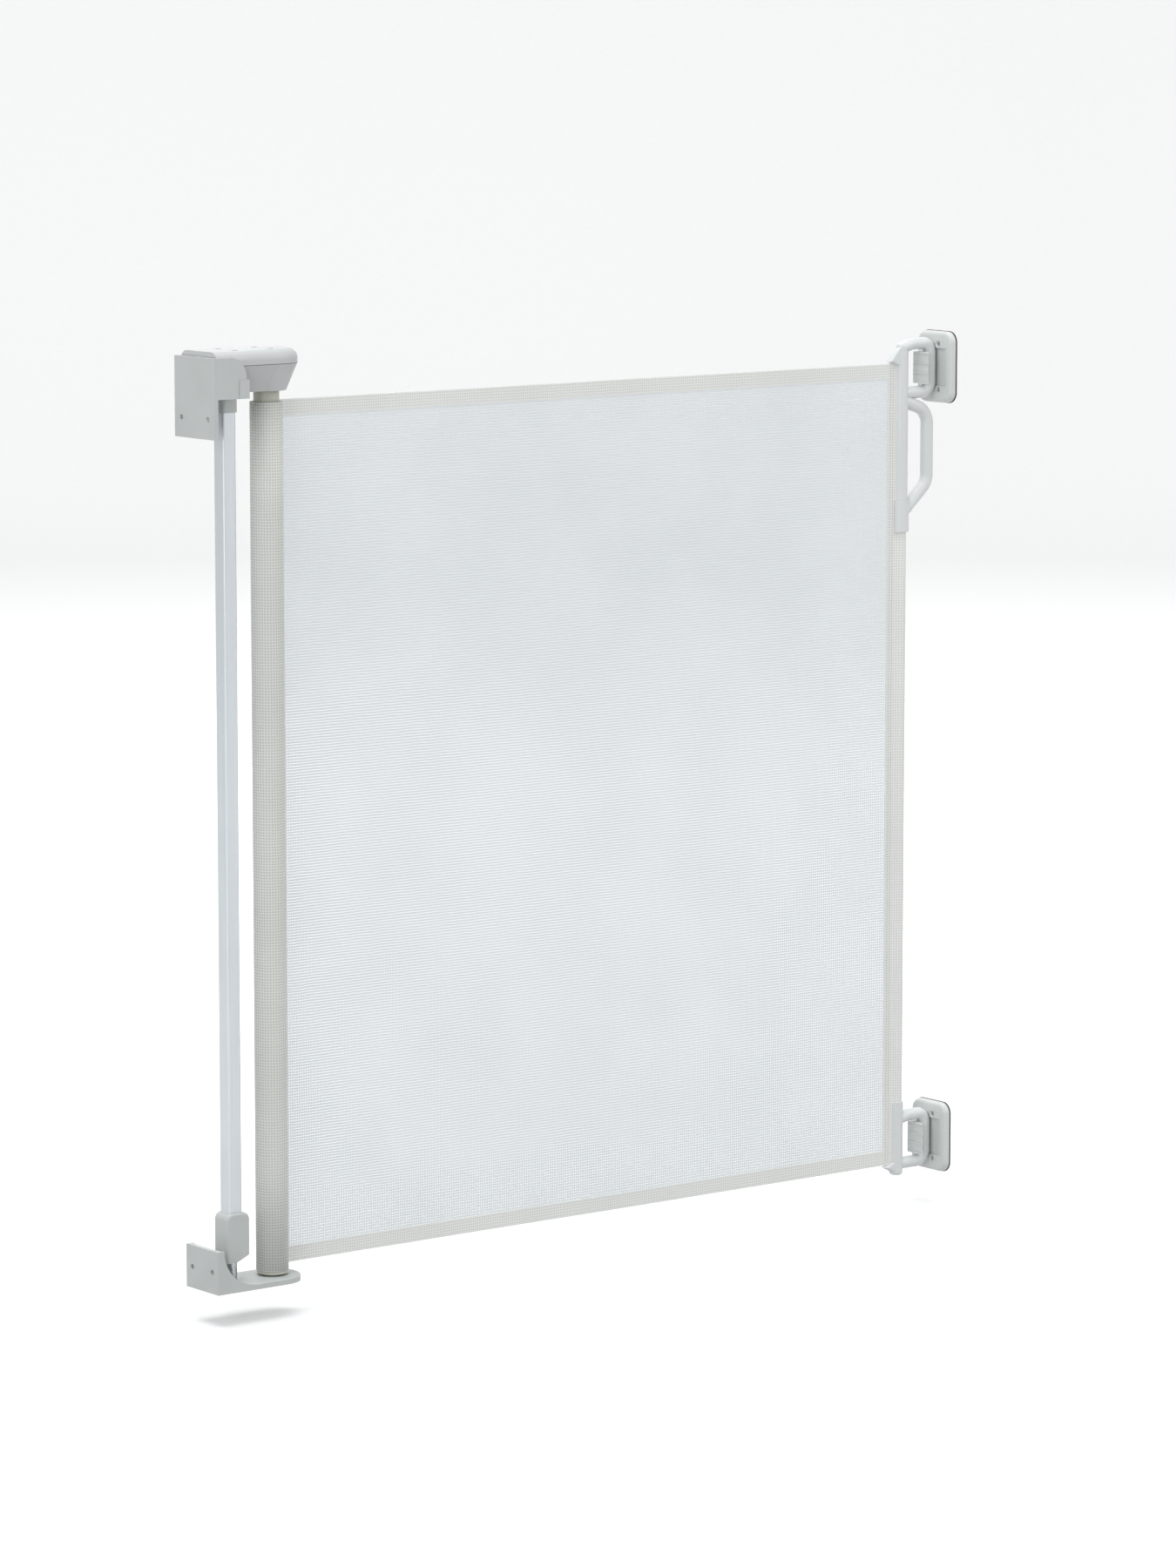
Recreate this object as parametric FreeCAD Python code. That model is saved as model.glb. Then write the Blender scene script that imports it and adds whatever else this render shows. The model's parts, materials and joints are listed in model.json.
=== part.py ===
import FreeCAD, Part

import math
import os

# Retractable mesh safety gate, in millimetres.
# Frame: +Z up, +X from the roller wall to the latch wall, +Y to the back.
# The origin is the centre of the foot bracket's wall face, between its two screws.

# --- driving dimensions ------------------------------------------------------------

# overall
AXIS_X = 78.0                # wall face to roller axis
BAR_REACH = 768.0            # roller axis to latch bar centre
MESH_HEIGHT = 800.0
BAR_TO_WALL = 49.2           # latch bar centre to the latch wall

# clearances
FIT = 0.03                   # radial clearance of pressed pieces
RUNNING = 0.06               # radial clearance of turning pieces
GAP = 0.3                    # clearance between neighbours that may move
PAST = 1.0                   # how far a cutter runs past what it cuts

# screws of the housing and the mouldings
SCREW_HEAD = 3.0
SCREW_SHANK = 1.6
SCREW_DRIVE = 1.7            # half length of the cross drive
SCREW_DRIVE_HALF_WIDTH = 0.4
SCREW_DRIVE_DEPTH = 0.9

# foot bracket
FOOT_WIDTH = 51.5
FOOT_FLOOR = 5.5
FOOT_PLATE_HEIGHT = 40.0
FOOT_PLATE_THICKNESS = 5.0
FOOT_WALL = 3.0
FOOT_SCREW_SPACING = 32.0
WALL_SCREW_RADIUS = 2.5
GUSSET_REACH = 40.0          # wall face to the front end of the side gussets

# roller
ROLL_RADIUS = 15.0           # wound mesh, outside
TUBE_RADIUS = 12.5
TUBE_WALL = 1.0
TUBE_SETBACK = 2.0           # tube end inside the end of the wound mesh
NECK_RADIUS = 11.8
NECK_LENGTH = 10.5           # end of the wound mesh to the housing
PLUG_DEPTH = 20.0
FLANGE_RADIUS = 14.6
FLANGE_THICKNESS = 2.5
FOOT_GAP = 2.0               # flange to foot floor
STRIP_WIDTH = 4.0
STRIP_DEPTH = 1.6

# spring drive inside the roller
MANDREL_RADIUS = 4.0
COLLAR_RADIUS = 9.5
COLLAR_LENGTH = 6.0
SPRING_LENGTH = 180.0
SPRING_INNER = 5.2
SPRING_OUTER = 9.8
DRIVE_PLUG_LENGTH = 15.0
BUSH_FLANGE_RADIUS = 9.0
BUSH_RADIUS = 6.5
TOP_BUSH_WALL = 1.5
TOP_BUSH_SETBACK = 3.0

# top housing
HOUSING_RADIUS = 28.5        # half width at the parting line
HOUSING_BOTTOM_RADIUS = 18.0
HOUSING_BOTTOM_HALF_WIDTH = 14.0
HOUSING_WALL = 2.2
HOUSING_FLOOR = 2.5
HOUSING_BODY_HEIGHT = 25.0
LID_HEIGHT = 13.0
LID_TOP = 2.5
LID_ROUND = 9.0
HOUSING_START = 5.0          # wall face to the housing's back end
LID_SCREW_BACK = 43.0        # roller axis to the rear pair of lid screws
LID_SCREW_FRONT = 4.0
LID_SCREW_HALF_SPACING = 13.0
LID_SCREW_SEAT = 3.0         # parting line to the screw heads
LID_SCREW_CROWN = 2.2
SPINDLE_RADIUS = 4.0
SPINDLE_BOSS_RADIUS = 7.6

# lock
WHEEL_RADIUS = 14.5
WHEEL_THICKNESS = 5.0
WHEEL_SPIGOT_RADIUS = 7.0
NOTCH_COUNT = 12
NOTCH_DEPTH = 3.5
NOTCH_WIDTH = 4.0
BOLT_TRAVEL = 4.2
BOLT_TIP_WIDTH = 3.0
BOLT_WIDTH = 8.0
BOLT_THICKNESS = 4.0
BOLT_LENGTH = 32.0
BUTTON_LENGTH = 16.0
BUTTON_HEIGHT = 12.0
BUTTON_DEPTH = 4.0
STEM_LENGTH = 6.0
STEM_THICKNESS = 3.0
STEM_SETBACK = 14.0
BOLT_CLEAR = 1.2             # wheel rim to the bolt tip, unlocked

# top wall bracket
BRACKET_PLATE = 4.0
BRACKET_CHEEK = 3.0
BRACKET_FLOOR = 3.7
BRACKET_REACH = 35.0
BRACKET_TOP_BELOW_LID = 5.0
BRACKET_SCREW_SPACING = 42.0
CHEEK_CURVE = 17.0           # reach and drop of the cheek's curved front
LUG_HEIGHT = 17.0            # thickened lower front corner of each cheek
LUG_BACK = 8.0
LUG_FRONT = 2.5
LUG_PROUD = 0.8
BRACKET_APRON = 36.0         # back plate below the saddle floor

# guide rail
RAIL_WIDTH = 16.0
RAIL_DEPTH = 14.0
RAIL_WALL = 1.5
RAIL_CORNER = 2.0
RAIL_X = 32.3                # wall face to rail centre
RAIL_TOP_GAP = 3.0           # rail end to the saddle
SOCKET_WALL = 1.5
SOCKET_LENGTH = 14.0
CAP_WIDTH = 22.0
CAP_DEPTH = 25.0
CAP_SHIFT = 0.9              # cap centre in front of the rail centre
CAP_HEIGHT = 46.0
CAP_LIFT = 18.5              # foot floor to the cap's lowest edge
CAP_OVERLAP = 34.0
CAP_SHOULDER = 7.0
CAP_EDGE = 2.4
CAP_SLANT_LENGTH = 17.0
CAP_SLANT_RISE = 7.0
RAIL_PIN_RADIUS = 5.0
RAIL_PIN_IN_CAP = 8.0
RAIL_PIN_FLOOR = 2.0         # foot material left under the pin

# mesh
PANEL_THICKNESS = 0.8
POCKET_THICKNESS = 1.1

# latch bar
BAR_RADIUS = 4.5
BAR_WALL = 1.2
SLEEVE_WALL = 1.2
BAR_SCREW_CROWN = 1.4
COLLAR_STEP = 1.5
TOP_SLEEVE_BELOW = 166.0     # mesh top to the lower end of the top sleeve
TOP_COLLAR_LENGTH = 31.0
BOTTOM_SLEEVE_ABOVE = 63.0   # mesh bottom to the upper end of the bottom sleeve
SLEEVE_PAST_MESH = 11.0
NOSE_REACH = 17.0
NOSE_FULLNESS = 0.54         # 0.5 would be a straight flank
NOSE_WIDTH = 9.0
NOSE_OVERLAP = 5.0           # how far the nose covers the mesh corner

# loops and grab handle
ROD_RADIUS = 6.0
LOOP_REACH = 36.0            # bar centre to the loop's upright
LOOP_HALF_HEIGHT = 24.0      # loop centre to the centre of each arm
LOOP_CORNER = 9.5
LOOP_SAG = 3.5               # top arm, lower at the bar than at its crown
LOOP_CROWN = 14.0            # bar centre to the crown
TOP_LOOP_BELOW = 5.5         # mesh top to the top loop's centre
BOTTOM_LOOP_ABOVE = 24.0
HANDLE_ROD_RADIUS = 6.3
HANDLE_REACH = 33.3
HANDLE_TOP_BELOW = 40.5      # mesh top to the handle's upper root
HANDLE_BOTTOM_BELOW = 145.5
HANDLE_TOP_SLANT = 8.0
HANDLE_BOTTOM_SLANT = 27.0
HANDLE_CORNER = 18.0

# wall catches
CATCH_WIDTH = 52.0
CATCH_HEIGHT = 70.0
CATCH_THICKNESS = 6.4
CATCH_CORNER = 11.0
CATCH_ROUND = 4.0
CATCH_SCREW_SPACING = 45.0
CATCH_SCREW_SHIFT = 6.0      # screws in front of the loop's plane
CATCH_HOLE_RADIUS = 2.2
CATCH_SINK_RADIUS = 3.6
CATCH_RECESS_HEIGHT = 37.4
CATCH_RECESS_DEPTH = 2.2
CATCH_RECESS_HALF_WIDTH = 10.0
CATCH_RECESS_RAMP = 9.0
PAD_THICKNESS = 1.2
PAD_MARGIN = 0.4             # pad, wider than the plate all round
CLAW_HEIGHT = 31.0
CLAW_REACH = 14.6            # loop upright to the claw's outer face
CLAW_TIP = 14.0              # loop upright to the claw's tip, towards the front
CLAW_BACK = 4.2
CLAW_ROUND = 5.0
CLAW_DRAFT = 22.5            # degrees that the claw's inner face opens to the front
RIB_COUNT = 4
RIB_WIDTH = 1.8
RIB_HEIGHT = 0.9

# --- places worked out from the sizes ----------------------------------------------

UP = FreeCAD.Vector(0, 0, 1)
FOOT_TOP = -FOOT_PLATE_HEIGHT / 2 + FOOT_FLOOR
FLANGE_BOTTOM = FOOT_TOP + FOOT_GAP
MESH_BOTTOM = FLANGE_BOTTOM + FLANGE_THICKNESS
MESH_TOP = MESH_BOTTOM + MESH_HEIGHT
TUBE_BOTTOM = MESH_BOTTOM + TUBE_SETBACK
TUBE_TOP = MESH_TOP - TUBE_SETBACK
HOUSING_BOTTOM = MESH_TOP + NECK_LENGTH
PARTING = HOUSING_BOTTOM + HOUSING_BODY_HEIGHT
LID_TOP_Z = PARTING + LID_HEIGHT
LID_CEILING = LID_TOP_Z - LID_TOP
FLOOR_TOP = HOUSING_BOTTOM + HOUSING_FLOOR
WHEEL_BOTTOM = FLOOR_TOP + 1.5
WHEEL_TOP = WHEEL_BOTTOM + WHEEL_THICKNESS
SPIGOT_TOP = WHEEL_TOP + 4.0
BOSS_BOTTOM = WHEEL_TOP + 2.0
PLUG_RADIUS = TUBE_RADIUS - TUBE_WALL - FIT
PANEL_Y = ROLL_RADIUS + 0.1 + PANEL_THICKNESS / 2
BAR_X = AXIS_X + BAR_REACH
WALL_X = BAR_X + BAR_TO_WALL
POCKET_RADIUS = BAR_RADIUS + POCKET_THICKNESS
SLEEVE_RADIUS = POCKET_RADIUS + SLEEVE_WALL
LOOP_X = BAR_X + LOOP_REACH
TOP_LOOP_Z = MESH_TOP - TOP_LOOP_BELOW
BOTTOM_LOOP_Z = MESH_BOTTOM + BOTTOM_LOOP_ABOVE
SADDLE_BOTTOM = HOUSING_BOTTOM - GAP - BRACKET_FLOOR
RAIL_TOP = SADDLE_BOTTOM - RAIL_TOP_GAP
CAP_BOTTOM = FOOT_TOP + CAP_LIFT
CAP_TOP = CAP_BOTTOM + CAP_HEIGHT
RAIL_BOTTOM = CAP_TOP - CAP_OVERLAP
PIN_SEAT = -FOOT_PLATE_HEIGHT / 2 + RAIL_PIN_FLOOR
MANDREL_BOTTOM = -FOOT_PLATE_HEIGHT / 2 + 0.5
COLLAR_BOTTOM = TUBE_BOTTOM + PLUG_DEPTH + GAP
SPRING_BOTTOM = COLLAR_BOTTOM + COLLAR_LENGTH
DRIVE_PLUG_BOTTOM = SPRING_BOTTOM + SPRING_LENGTH + GAP
DRIVE_PLUG_TOP = DRIVE_PLUG_BOTTOM + DRIVE_PLUG_LENGTH
TOP_BUSH_RADIUS = SPINDLE_RADIUS + TOP_BUSH_WALL
TOP_BUSH_BOTTOM = TUBE_TOP + TOP_BUSH_SETBACK
BOLT_BOTTOM = WHEEL_BOTTOM + 0.5
BOLT_TOP = BOLT_BOTTOM + BOLT_THICKNESS
BOLT_FRONT = AXIS_X - WHEEL_RADIUS - BOLT_CLEAR
BOLT_BACK = BOLT_FRONT - BOLT_LENGTH
STEM_X = BOLT_FRONT - STEM_SETBACK
STEM_BOTTOM = BOLT_BOTTOM + 0.5
STEM_TOP = STEM_BOTTOM + STEM_THICKNESS
SIDE_SLOPE = (HOUSING_RADIUS - HOUSING_BOTTOM_HALF_WIDTH) / HOUSING_BODY_HEIGHT
CATCH_SCREW_Y = PANEL_Y - CATCH_SCREW_SHIFT


# --- small helpers -----------------------------------------------------------------

def vec(x, y, z):
    """A point or direction."""
    return FreeCAD.Vector(x, y, z)


def cylinder(x, y, bottom, top, radius):
    """An upright cylinder."""
    return Part.makeCylinder(radius, top - bottom, vec(x, y, bottom), UP)


def ring(x, y, bottom, top, outer, inner):
    """An upright tube."""
    return cylinder(x, y, bottom, top, outer).cut(cylinder(x, y, bottom - 1, top + 1, inner))


def block(x0, x1, y0, y1, z0, z1):
    """A box between two corners."""
    return Part.makeBox(x1 - x0, y1 - y0, z1 - z0, vec(x0, y0, z0))


def cross_hole(x0, x1, y, z, radius):
    """A cylinder along X."""
    return Part.makeCylinder(radius, x1 - x0, vec(x0, y, z), vec(1, 0, 0))


def prism(points, direction):
    """A solid made by pushing a closed polygon along a direction."""
    wire = Part.makePolygon(points + [points[0]])
    return Part.Face(wire).extrude(direction)


def slot_wire(x0, x1, half_width, z):
    """A flat-backed slot outline: straight back end at x0, round end about x1."""
    start = vec(x0, -half_width, z)
    lower = vec(x1, -half_width, z)
    tip = vec(x1 + half_width, 0, z)
    upper = vec(x1, half_width, z)
    back = vec(x0, half_width, z)
    edges = [
        Part.makeLine(start, lower),
        Part.Arc(lower, tip, upper).toShape(),
        Part.makeLine(upper, back),
        Part.makeLine(back, start),
    ]
    return Part.Wire(edges)


def rod_path(corners, radius):
    """A wire of straight runs through the corners, each turn a tangent arc."""
    edges = []
    start = corners[0]
    for before, corner, after in zip(corners, corners[1:], corners[2:]):
        incoming = (before - corner).normalize()
        outgoing = (after - corner).normalize()
        half = incoming.getAngle(outgoing) / 2
        setback = radius / math.tan(half)
        bisector = (incoming + outgoing).normalize()
        centre = corner + bisector * (radius / math.sin(half))
        first = corner + incoming * setback
        middle = centre - bisector * radius
        last = corner + outgoing * setback
        edges.append(Part.makeLine(start, first))
        edges.append(Part.Arc(first, middle, last).toShape())
        start = last
    edges.append(Part.makeLine(start, corners[-1]))
    return Part.Wire(edges)


def rod(corners, corner_radius, radius):
    """A round rod that follows the corners."""
    path = rod_path(corners, corner_radius)
    heading = corners[1] - corners[0]
    profile = Part.Wire(Part.makeCircle(radius, corners[0], heading))
    return path.makePipeShell([profile], True, False)


def fillet_where(shape, radius, test):
    """Round the edges whose middle point passes a test."""
    chosen = []
    for edge in shape.Edges:
        middle = edge.valueAt((edge.FirstParameter + edge.LastParameter) / 2)
        if test(middle, edge):
            chosen.append(edge)
    return shape.makeFillet(radius, chosen)


# --- foot bracket and lower end of the roller --------------------------------------

def foot_bracket():
    """Floor with a round front end, wall plate and two concave side gussets."""
    half = FOOT_WIDTH / 2
    bottom = -FOOT_PLATE_HEIGHT / 2
    outline = slot_wire(0, AXIS_X, half, bottom)
    foot = Part.Face(outline).extrude(UP * FOOT_FLOOR)
    foot = fillet_where(foot, 1.2, lambda p, e: p.z > FOOT_TOP - 0.01 and p.x > 1)
    plate = block(0, FOOT_PLATE_THICKNESS, -half, half, bottom, -bottom)
    foot = foot.fuse(plate)
    for side in (-1, 1):
        y_in = side * (half - FOOT_WALL)
        y_out = side * half
        foot = foot.fuse(gusset(min(y_in, y_out), FOOT_WALL))
    foot = foot.cut(cylinder(AXIS_X, 0, bottom - 1, FOOT_TOP + 1, BUSH_RADIUS + FIT))
    foot = foot.cut(cylinder(RAIL_X, 0, PIN_SEAT, FOOT_TOP + PAST, RAIL_PIN_RADIUS + FIT))
    for side in (-1, 1):
        y = side * FOOT_SCREW_SPACING / 2
        foot = foot.cut(cross_hole(-1, FOOT_PLATE_THICKNESS + 1, y, 0, WALL_SCREW_RADIUS))
    return foot.removeSplitter()


def gusset(y, thickness):
    """A side wall whose front edge is a hollow curve from the wall plate to the floor."""
    top = FOOT_PLATE_HEIGHT / 2
    floor = FOOT_TOP - 1
    head = vec(FOOT_PLATE_THICKNESS + 2, y, top)
    toe = vec(GUSSET_REACH, y, FOOT_TOP)
    reach = toe.x - head.x
    drop = head.z - toe.z
    middle = vec(head.x + reach * 0.30, y, toe.z + drop * 0.30)
    edges = [
        Part.makeLine(vec(0, y, floor), vec(0, y, top)),
        Part.makeLine(vec(0, y, top), head),
        Part.Arc(head, middle, toe).toShape(),
        Part.makeLine(toe, vec(toe.x, y, floor)),
        Part.makeLine(vec(toe.x, y, floor), vec(0, y, floor)),
    ]
    return Part.Face(Part.Wire(edges)).extrude(vec(0, thickness, 0))


def foot_bush():
    """Flanged bush in the foot: the roller runs on its face."""
    body = cylinder(AXIS_X, 0, MANDREL_BOTTOM, FOOT_TOP, BUSH_RADIUS)
    flange = cylinder(AXIS_X, 0, FOOT_TOP, FLANGE_BOTTOM - GAP, BUSH_FLANGE_RADIUS)
    bore = cylinder(AXIS_X, 0, MANDREL_BOTTOM - PAST, FLANGE_BOTTOM, MANDREL_RADIUS + FIT)
    return body.fuse(flange).cut(bore)


def spring_mandrel():
    """Fixed rod up the middle of the roller, with the collar that anchors the spring."""
    core = cylinder(AXIS_X, 0, MANDREL_BOTTOM, DRIVE_PLUG_TOP - 1, MANDREL_RADIUS)
    collar = cylinder(AXIS_X, 0, COLLAR_BOTTOM, COLLAR_BOTTOM + COLLAR_LENGTH, COLLAR_RADIUS)
    return core.fuse(collar)


def torsion_spring():
    """Envelope of the close-wound torsion spring."""
    return ring(AXIS_X, 0, SPRING_BOTTOM, SPRING_BOTTOM + SPRING_LENGTH, SPRING_OUTER, SPRING_INNER)


def spring_drive_plug():
    """Plug fixed in the tube that takes the spring's upper end."""
    plug = ring(AXIS_X, 0, DRIVE_PLUG_BOTTOM, DRIVE_PLUG_TOP, PLUG_RADIUS, MANDREL_RADIUS + RUNNING)
    return plug


# --- roller ------------------------------------------------------------------------

def roller_tube():
    """Aluminium tube with a groove for the mesh retaining strip."""
    tube = ring(AXIS_X, 0, TUBE_BOTTOM, TUBE_TOP, TUBE_RADIUS, TUBE_RADIUS - TUBE_WALL)
    land = strip_pocket(TUBE_WALL).common(cylinder(AXIS_X, 0, TUBE_BOTTOM, TUBE_TOP, TUBE_RADIUS))
    plug_room = cylinder(AXIS_X, 0, TUBE_BOTTOM - 1, TUBE_TOP + 1, TUBE_RADIUS - TUBE_WALL)
    tube = tube.fuse(land.cut(plug_room))
    return tube.cut(strip_pocket(0))


def strip_pocket(margin):
    """The groove's section along the tube, on the side away from the panel."""
    half = STRIP_WIDTH / 2 + margin
    depth = TUBE_WALL / 2 + margin / 2
    y0 = -TUBE_RADIUS
    y1 = -TUBE_RADIUS + depth
    return block(AXIS_X - half, AXIS_X + half, y0, y1, TUBE_BOTTOM - 1, TUBE_TOP + 1)


def mesh_retaining_strip():
    """Flat strip that holds the mesh's inner edge in the tube's groove."""
    half = STRIP_WIDTH / 2 - FIT
    y0 = -TUBE_RADIUS + FIT
    y1 = -TUBE_RADIUS + TUBE_WALL / 2 - FIT
    strip = block(AXIS_X - half, AXIS_X + half, y0, y1, TUBE_BOTTOM + 2, TUBE_TOP - 2)
    return strip.common(cylinder(AXIS_X, 0, TUBE_BOTTOM, TUBE_TOP, TUBE_RADIUS))


def mesh_roll():
    """The wound turns of mesh left on the tube."""
    return ring(AXIS_X, 0, MESH_BOTTOM, MESH_TOP, ROLL_RADIUS, TUBE_RADIUS + FIT)


def roller_bottom_plug():
    """Plug in the tube's lower end, with the flange under the wound mesh."""
    insert = cylinder(AXIS_X, 0, FLANGE_BOTTOM, TUBE_BOTTOM + PLUG_DEPTH, PLUG_RADIUS)
    flange = cylinder(AXIS_X, 0, FLANGE_BOTTOM, MESH_BOTTOM, FLANGE_RADIUS)
    bore = cylinder(AXIS_X, 0, FLANGE_BOTTOM - 1, TUBE_BOTTOM + PLUG_DEPTH + 1, MANDREL_RADIUS + RUNNING)
    return insert.fuse(flange).cut(bore)


def roller_top_plug():
    """Plug in the tube's upper end: neck through the housing floor and spigot for the wheel."""
    insert = cylinder(AXIS_X, 0, TUBE_TOP - PLUG_DEPTH, TUBE_TOP + 1, PLUG_RADIUS)
    neck = cylinder(AXIS_X, 0, TUBE_TOP + FIT, WHEEL_BOTTOM, NECK_RADIUS)
    spigot = cylinder(AXIS_X, 0, WHEEL_BOTTOM - 1, SPIGOT_TOP, WHEEL_SPIGOT_RADIUS)
    bore = cylinder(AXIS_X, 0, TOP_BUSH_BOTTOM, SPIGOT_TOP + 1, TOP_BUSH_RADIUS + FIT)
    return insert.fuse(neck).fuse(spigot).cut(bore)


def top_bush():
    """Plain bush in the top plug that turns on the spindle."""
    return ring(AXIS_X, 0, TOP_BUSH_BOTTOM, SPIGOT_TOP, TOP_BUSH_RADIUS, SPINDLE_RADIUS + RUNNING)


def lock_wheel():
    """Notched wheel on the plug's spigot; one notch faces the bolt at rest."""
    wheel = cylinder(AXIS_X, 0, WHEEL_BOTTOM, WHEEL_TOP, WHEEL_RADIUS)
    wheel = wheel.cut(cylinder(AXIS_X, 0, WHEEL_BOTTOM - 1, WHEEL_TOP + 1, WHEEL_SPIGOT_RADIUS + FIT))
    root = WHEEL_RADIUS - NOTCH_DEPTH
    for number in range(NOTCH_COUNT):
        notch = block(
            AXIS_X - WHEEL_RADIUS - 1, AXIS_X - root,
            -NOTCH_WIDTH / 2, NOTCH_WIDTH / 2,
            WHEEL_BOTTOM - 1, WHEEL_TOP + 1)
        notch.rotate(vec(AXIS_X, 0, 0), UP, number * 360.0 / NOTCH_COUNT)
        wheel = wheel.cut(notch)
    return wheel


# --- top housing -------------------------------------------------------------------

def housing_form(inset, bottom, back):
    """Tapered slot shape of the housing body, drawn in by an inset."""
    upper = slot_wire(back, AXIS_X, HOUSING_RADIUS - inset, PARTING)
    lower = slot_wire(back, AXIS_X, HOUSING_BOTTOM_HALF_WIDTH - inset, HOUSING_BOTTOM)
    sides = Part.makeLoft([lower, upper], True, True)
    nose = Part.makeCone(
        HOUSING_BOTTOM_RADIUS - inset, HOUSING_RADIUS - inset,
        HOUSING_BODY_HEIGHT, vec(AXIS_X, 0, HOUSING_BOTTOM), UP)
    form = sides.fuse(nose)
    return form.common(block(-10, 2 * AXIS_X, -60, 60, bottom, PARTING + 1))


def lid_screw_places():
    """The four lid screws in plan."""
    places = []
    for x in (AXIS_X - LID_SCREW_FRONT, AXIS_X - LID_SCREW_BACK):
        for side in (-1, 1):
            places.append((x, side * LID_SCREW_HALF_SPACING))
    return places


def housing_body():
    """Lower shell: tapered, open at the top, with screw bosses and bolt guide."""
    outer = housing_form(0, HOUSING_BOTTOM, HOUSING_START)
    inner = housing_form(HOUSING_WALL, FLOOR_TOP, HOUSING_START + HOUSING_WALL)
    shell = outer.cut(inner)
    for x, y in lid_screw_places():
        boss = cylinder(x, y, BOSS_BOTTOM, PARTING, SCREW_SHANK + 1.8)
        web_end = math.copysign(HOUSING_RADIUS, y)
        web = block(x - 1, x + 1, min(y, web_end), max(y, web_end), BOSS_BOTTOM, PARTING)
        shell = shell.fuse(boss.fuse(web).common(outer))
    guide = block(
        BOLT_BACK, BOLT_BACK + BOLT_LENGTH - 2,
        -BOLT_WIDTH / 2, BOLT_WIDTH / 2,
        FLOOR_TOP - 1, BOLT_BOTTOM - 0.2)
    shell = shell.fuse(guide)
    shell = shell.cut(cylinder(AXIS_X, 0, HOUSING_BOTTOM - 1, FLOOR_TOP + 1, NECK_RADIUS + GAP))
    for x, y in lid_screw_places():
        shell = shell.cut(cylinder(x, y, BOSS_BOTTOM - 1, PARTING + 1, SCREW_SHANK + FIT))
    shell = shell.cut(stem_form(GAP, BOLT_TRAVEL))
    return shell.removeSplitter()


def housing_lid():
    """Upper shell: flat top with rounded edge, screw wells and spindle boss."""
    outline = slot_wire(HOUSING_START, AXIS_X, HOUSING_RADIUS, PARTING)
    lid = Part.Face(outline).extrude(UP * LID_HEIGHT)
    lid = fillet_where(lid, LID_ROUND, lambda p, e: p.z > LID_TOP_Z - 0.01 and p.x > HOUSING_START + 1)
    room = slot_wire(HOUSING_START + HOUSING_WALL, AXIS_X, HOUSING_RADIUS - HOUSING_WALL, PARTING - PAST)
    inner = Part.Face(room).extrude(UP * (LID_CEILING - PARTING + PAST))
    inner = fillet_where(
        inner, LID_ROUND - HOUSING_WALL,
        lambda p, e: p.z > LID_CEILING - 0.01 and p.x > HOUSING_START + HOUSING_WALL + 1)
    lid = lid.cut(inner)
    for x, y in lid_screw_places():
        lid = lid.fuse(cylinder(x, y, PARTING, LID_CEILING + 1, SCREW_HEAD + 1.2))
    boss = cylinder(AXIS_X, 0, SPIGOT_TOP + 1, LID_CEILING + 1, SPINDLE_BOSS_RADIUS)
    lid = lid.fuse(boss)
    lid = lid.cut(cylinder(AXIS_X, 0, SPIGOT_TOP, LID_CEILING, SPINDLE_RADIUS + FIT))
    for x, y in lid_screw_places():
        lid = lid.cut(cylinder(x, y, PARTING + 3, LID_TOP_Z + 1, SCREW_HEAD))
        lid = lid.cut(cylinder(x, y, PARTING - 1, PARTING + 4, SCREW_SHANK + FIT))
    return lid.removeSplitter()


def cross_drive(crown, outward):
    """Cutter for a cross drive in a screw head, from the crown inwards."""
    cutters = []
    for turn in (0, 90):
        bar = block(
            -SCREW_DRIVE, SCREW_DRIVE, -SCREW_DRIVE_HALF_WIDTH, SCREW_DRIVE_HALF_WIDTH,
            -SCREW_DRIVE_DEPTH, PAST)
        bar.rotate(vec(0, 0, 0), UP, turn)
        bar.Placement = FreeCAD.Placement(crown, FreeCAD.Rotation(UP, outward)) * bar.Placement
        cutters.append(bar)
    return cutters[0].fuse(cutters[1])


def lid_screws():
    """Four pan-head screws that close the housing."""
    screws = []
    for x, y in lid_screw_places():
        seat = PARTING + LID_SCREW_SEAT
        crown = seat + LID_SCREW_CROWN
        head = cylinder(x, y, seat, crown, SCREW_HEAD - 0.2)
        shank = cylinder(x, y, BOSS_BOTTOM + 1, seat + 0.5, SCREW_SHANK)
        screws.append(head.fuse(shank).cut(cross_drive(vec(x, y, crown), UP)))
    return Part.makeCompound(screws)


def top_spindle():
    """Pin fixed in the lid on which the roller's top end turns."""
    return cylinder(AXIS_X, 0, TOP_BUSH_BOTTOM + 1, LID_CEILING - 0.5, SPINDLE_RADIUS)


# --- lock --------------------------------------------------------------------------

def side_y(z):
    """Outer face of the housing's slanted side at a height."""
    return HOUSING_BOTTOM_HALF_WIDTH + SIDE_SLOPE * (z - HOUSING_BOTTOM)


def stem_form(margin, travel):
    """The bolt's side arm, or the slot that it moves in."""
    return block(
        STEM_X - margin, STEM_X + STEM_LENGTH + travel + margin,
        BOLT_WIDTH / 2 - 1, side_y(STEM_BOTTOM) + 1.0 + margin,
        STEM_BOTTOM - margin, STEM_TOP + margin)


def lock_bolt():
    """Sliding bolt whose tip enters a notch of the wheel."""
    shoulder = 6.0
    body = block(
        BOLT_BACK, BOLT_FRONT - shoulder,
        -BOLT_WIDTH / 2, BOLT_WIDTH / 2, BOLT_BOTTOM, BOLT_TOP)
    tip = block(
        BOLT_FRONT - shoulder - 1, BOLT_FRONT,
        -BOLT_TIP_WIDTH / 2, BOLT_TIP_WIDTH / 2, BOLT_BOTTOM, BOLT_TOP)
    return body.fuse(tip).fuse(stem_form(0, 0)).removeSplitter()


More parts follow.
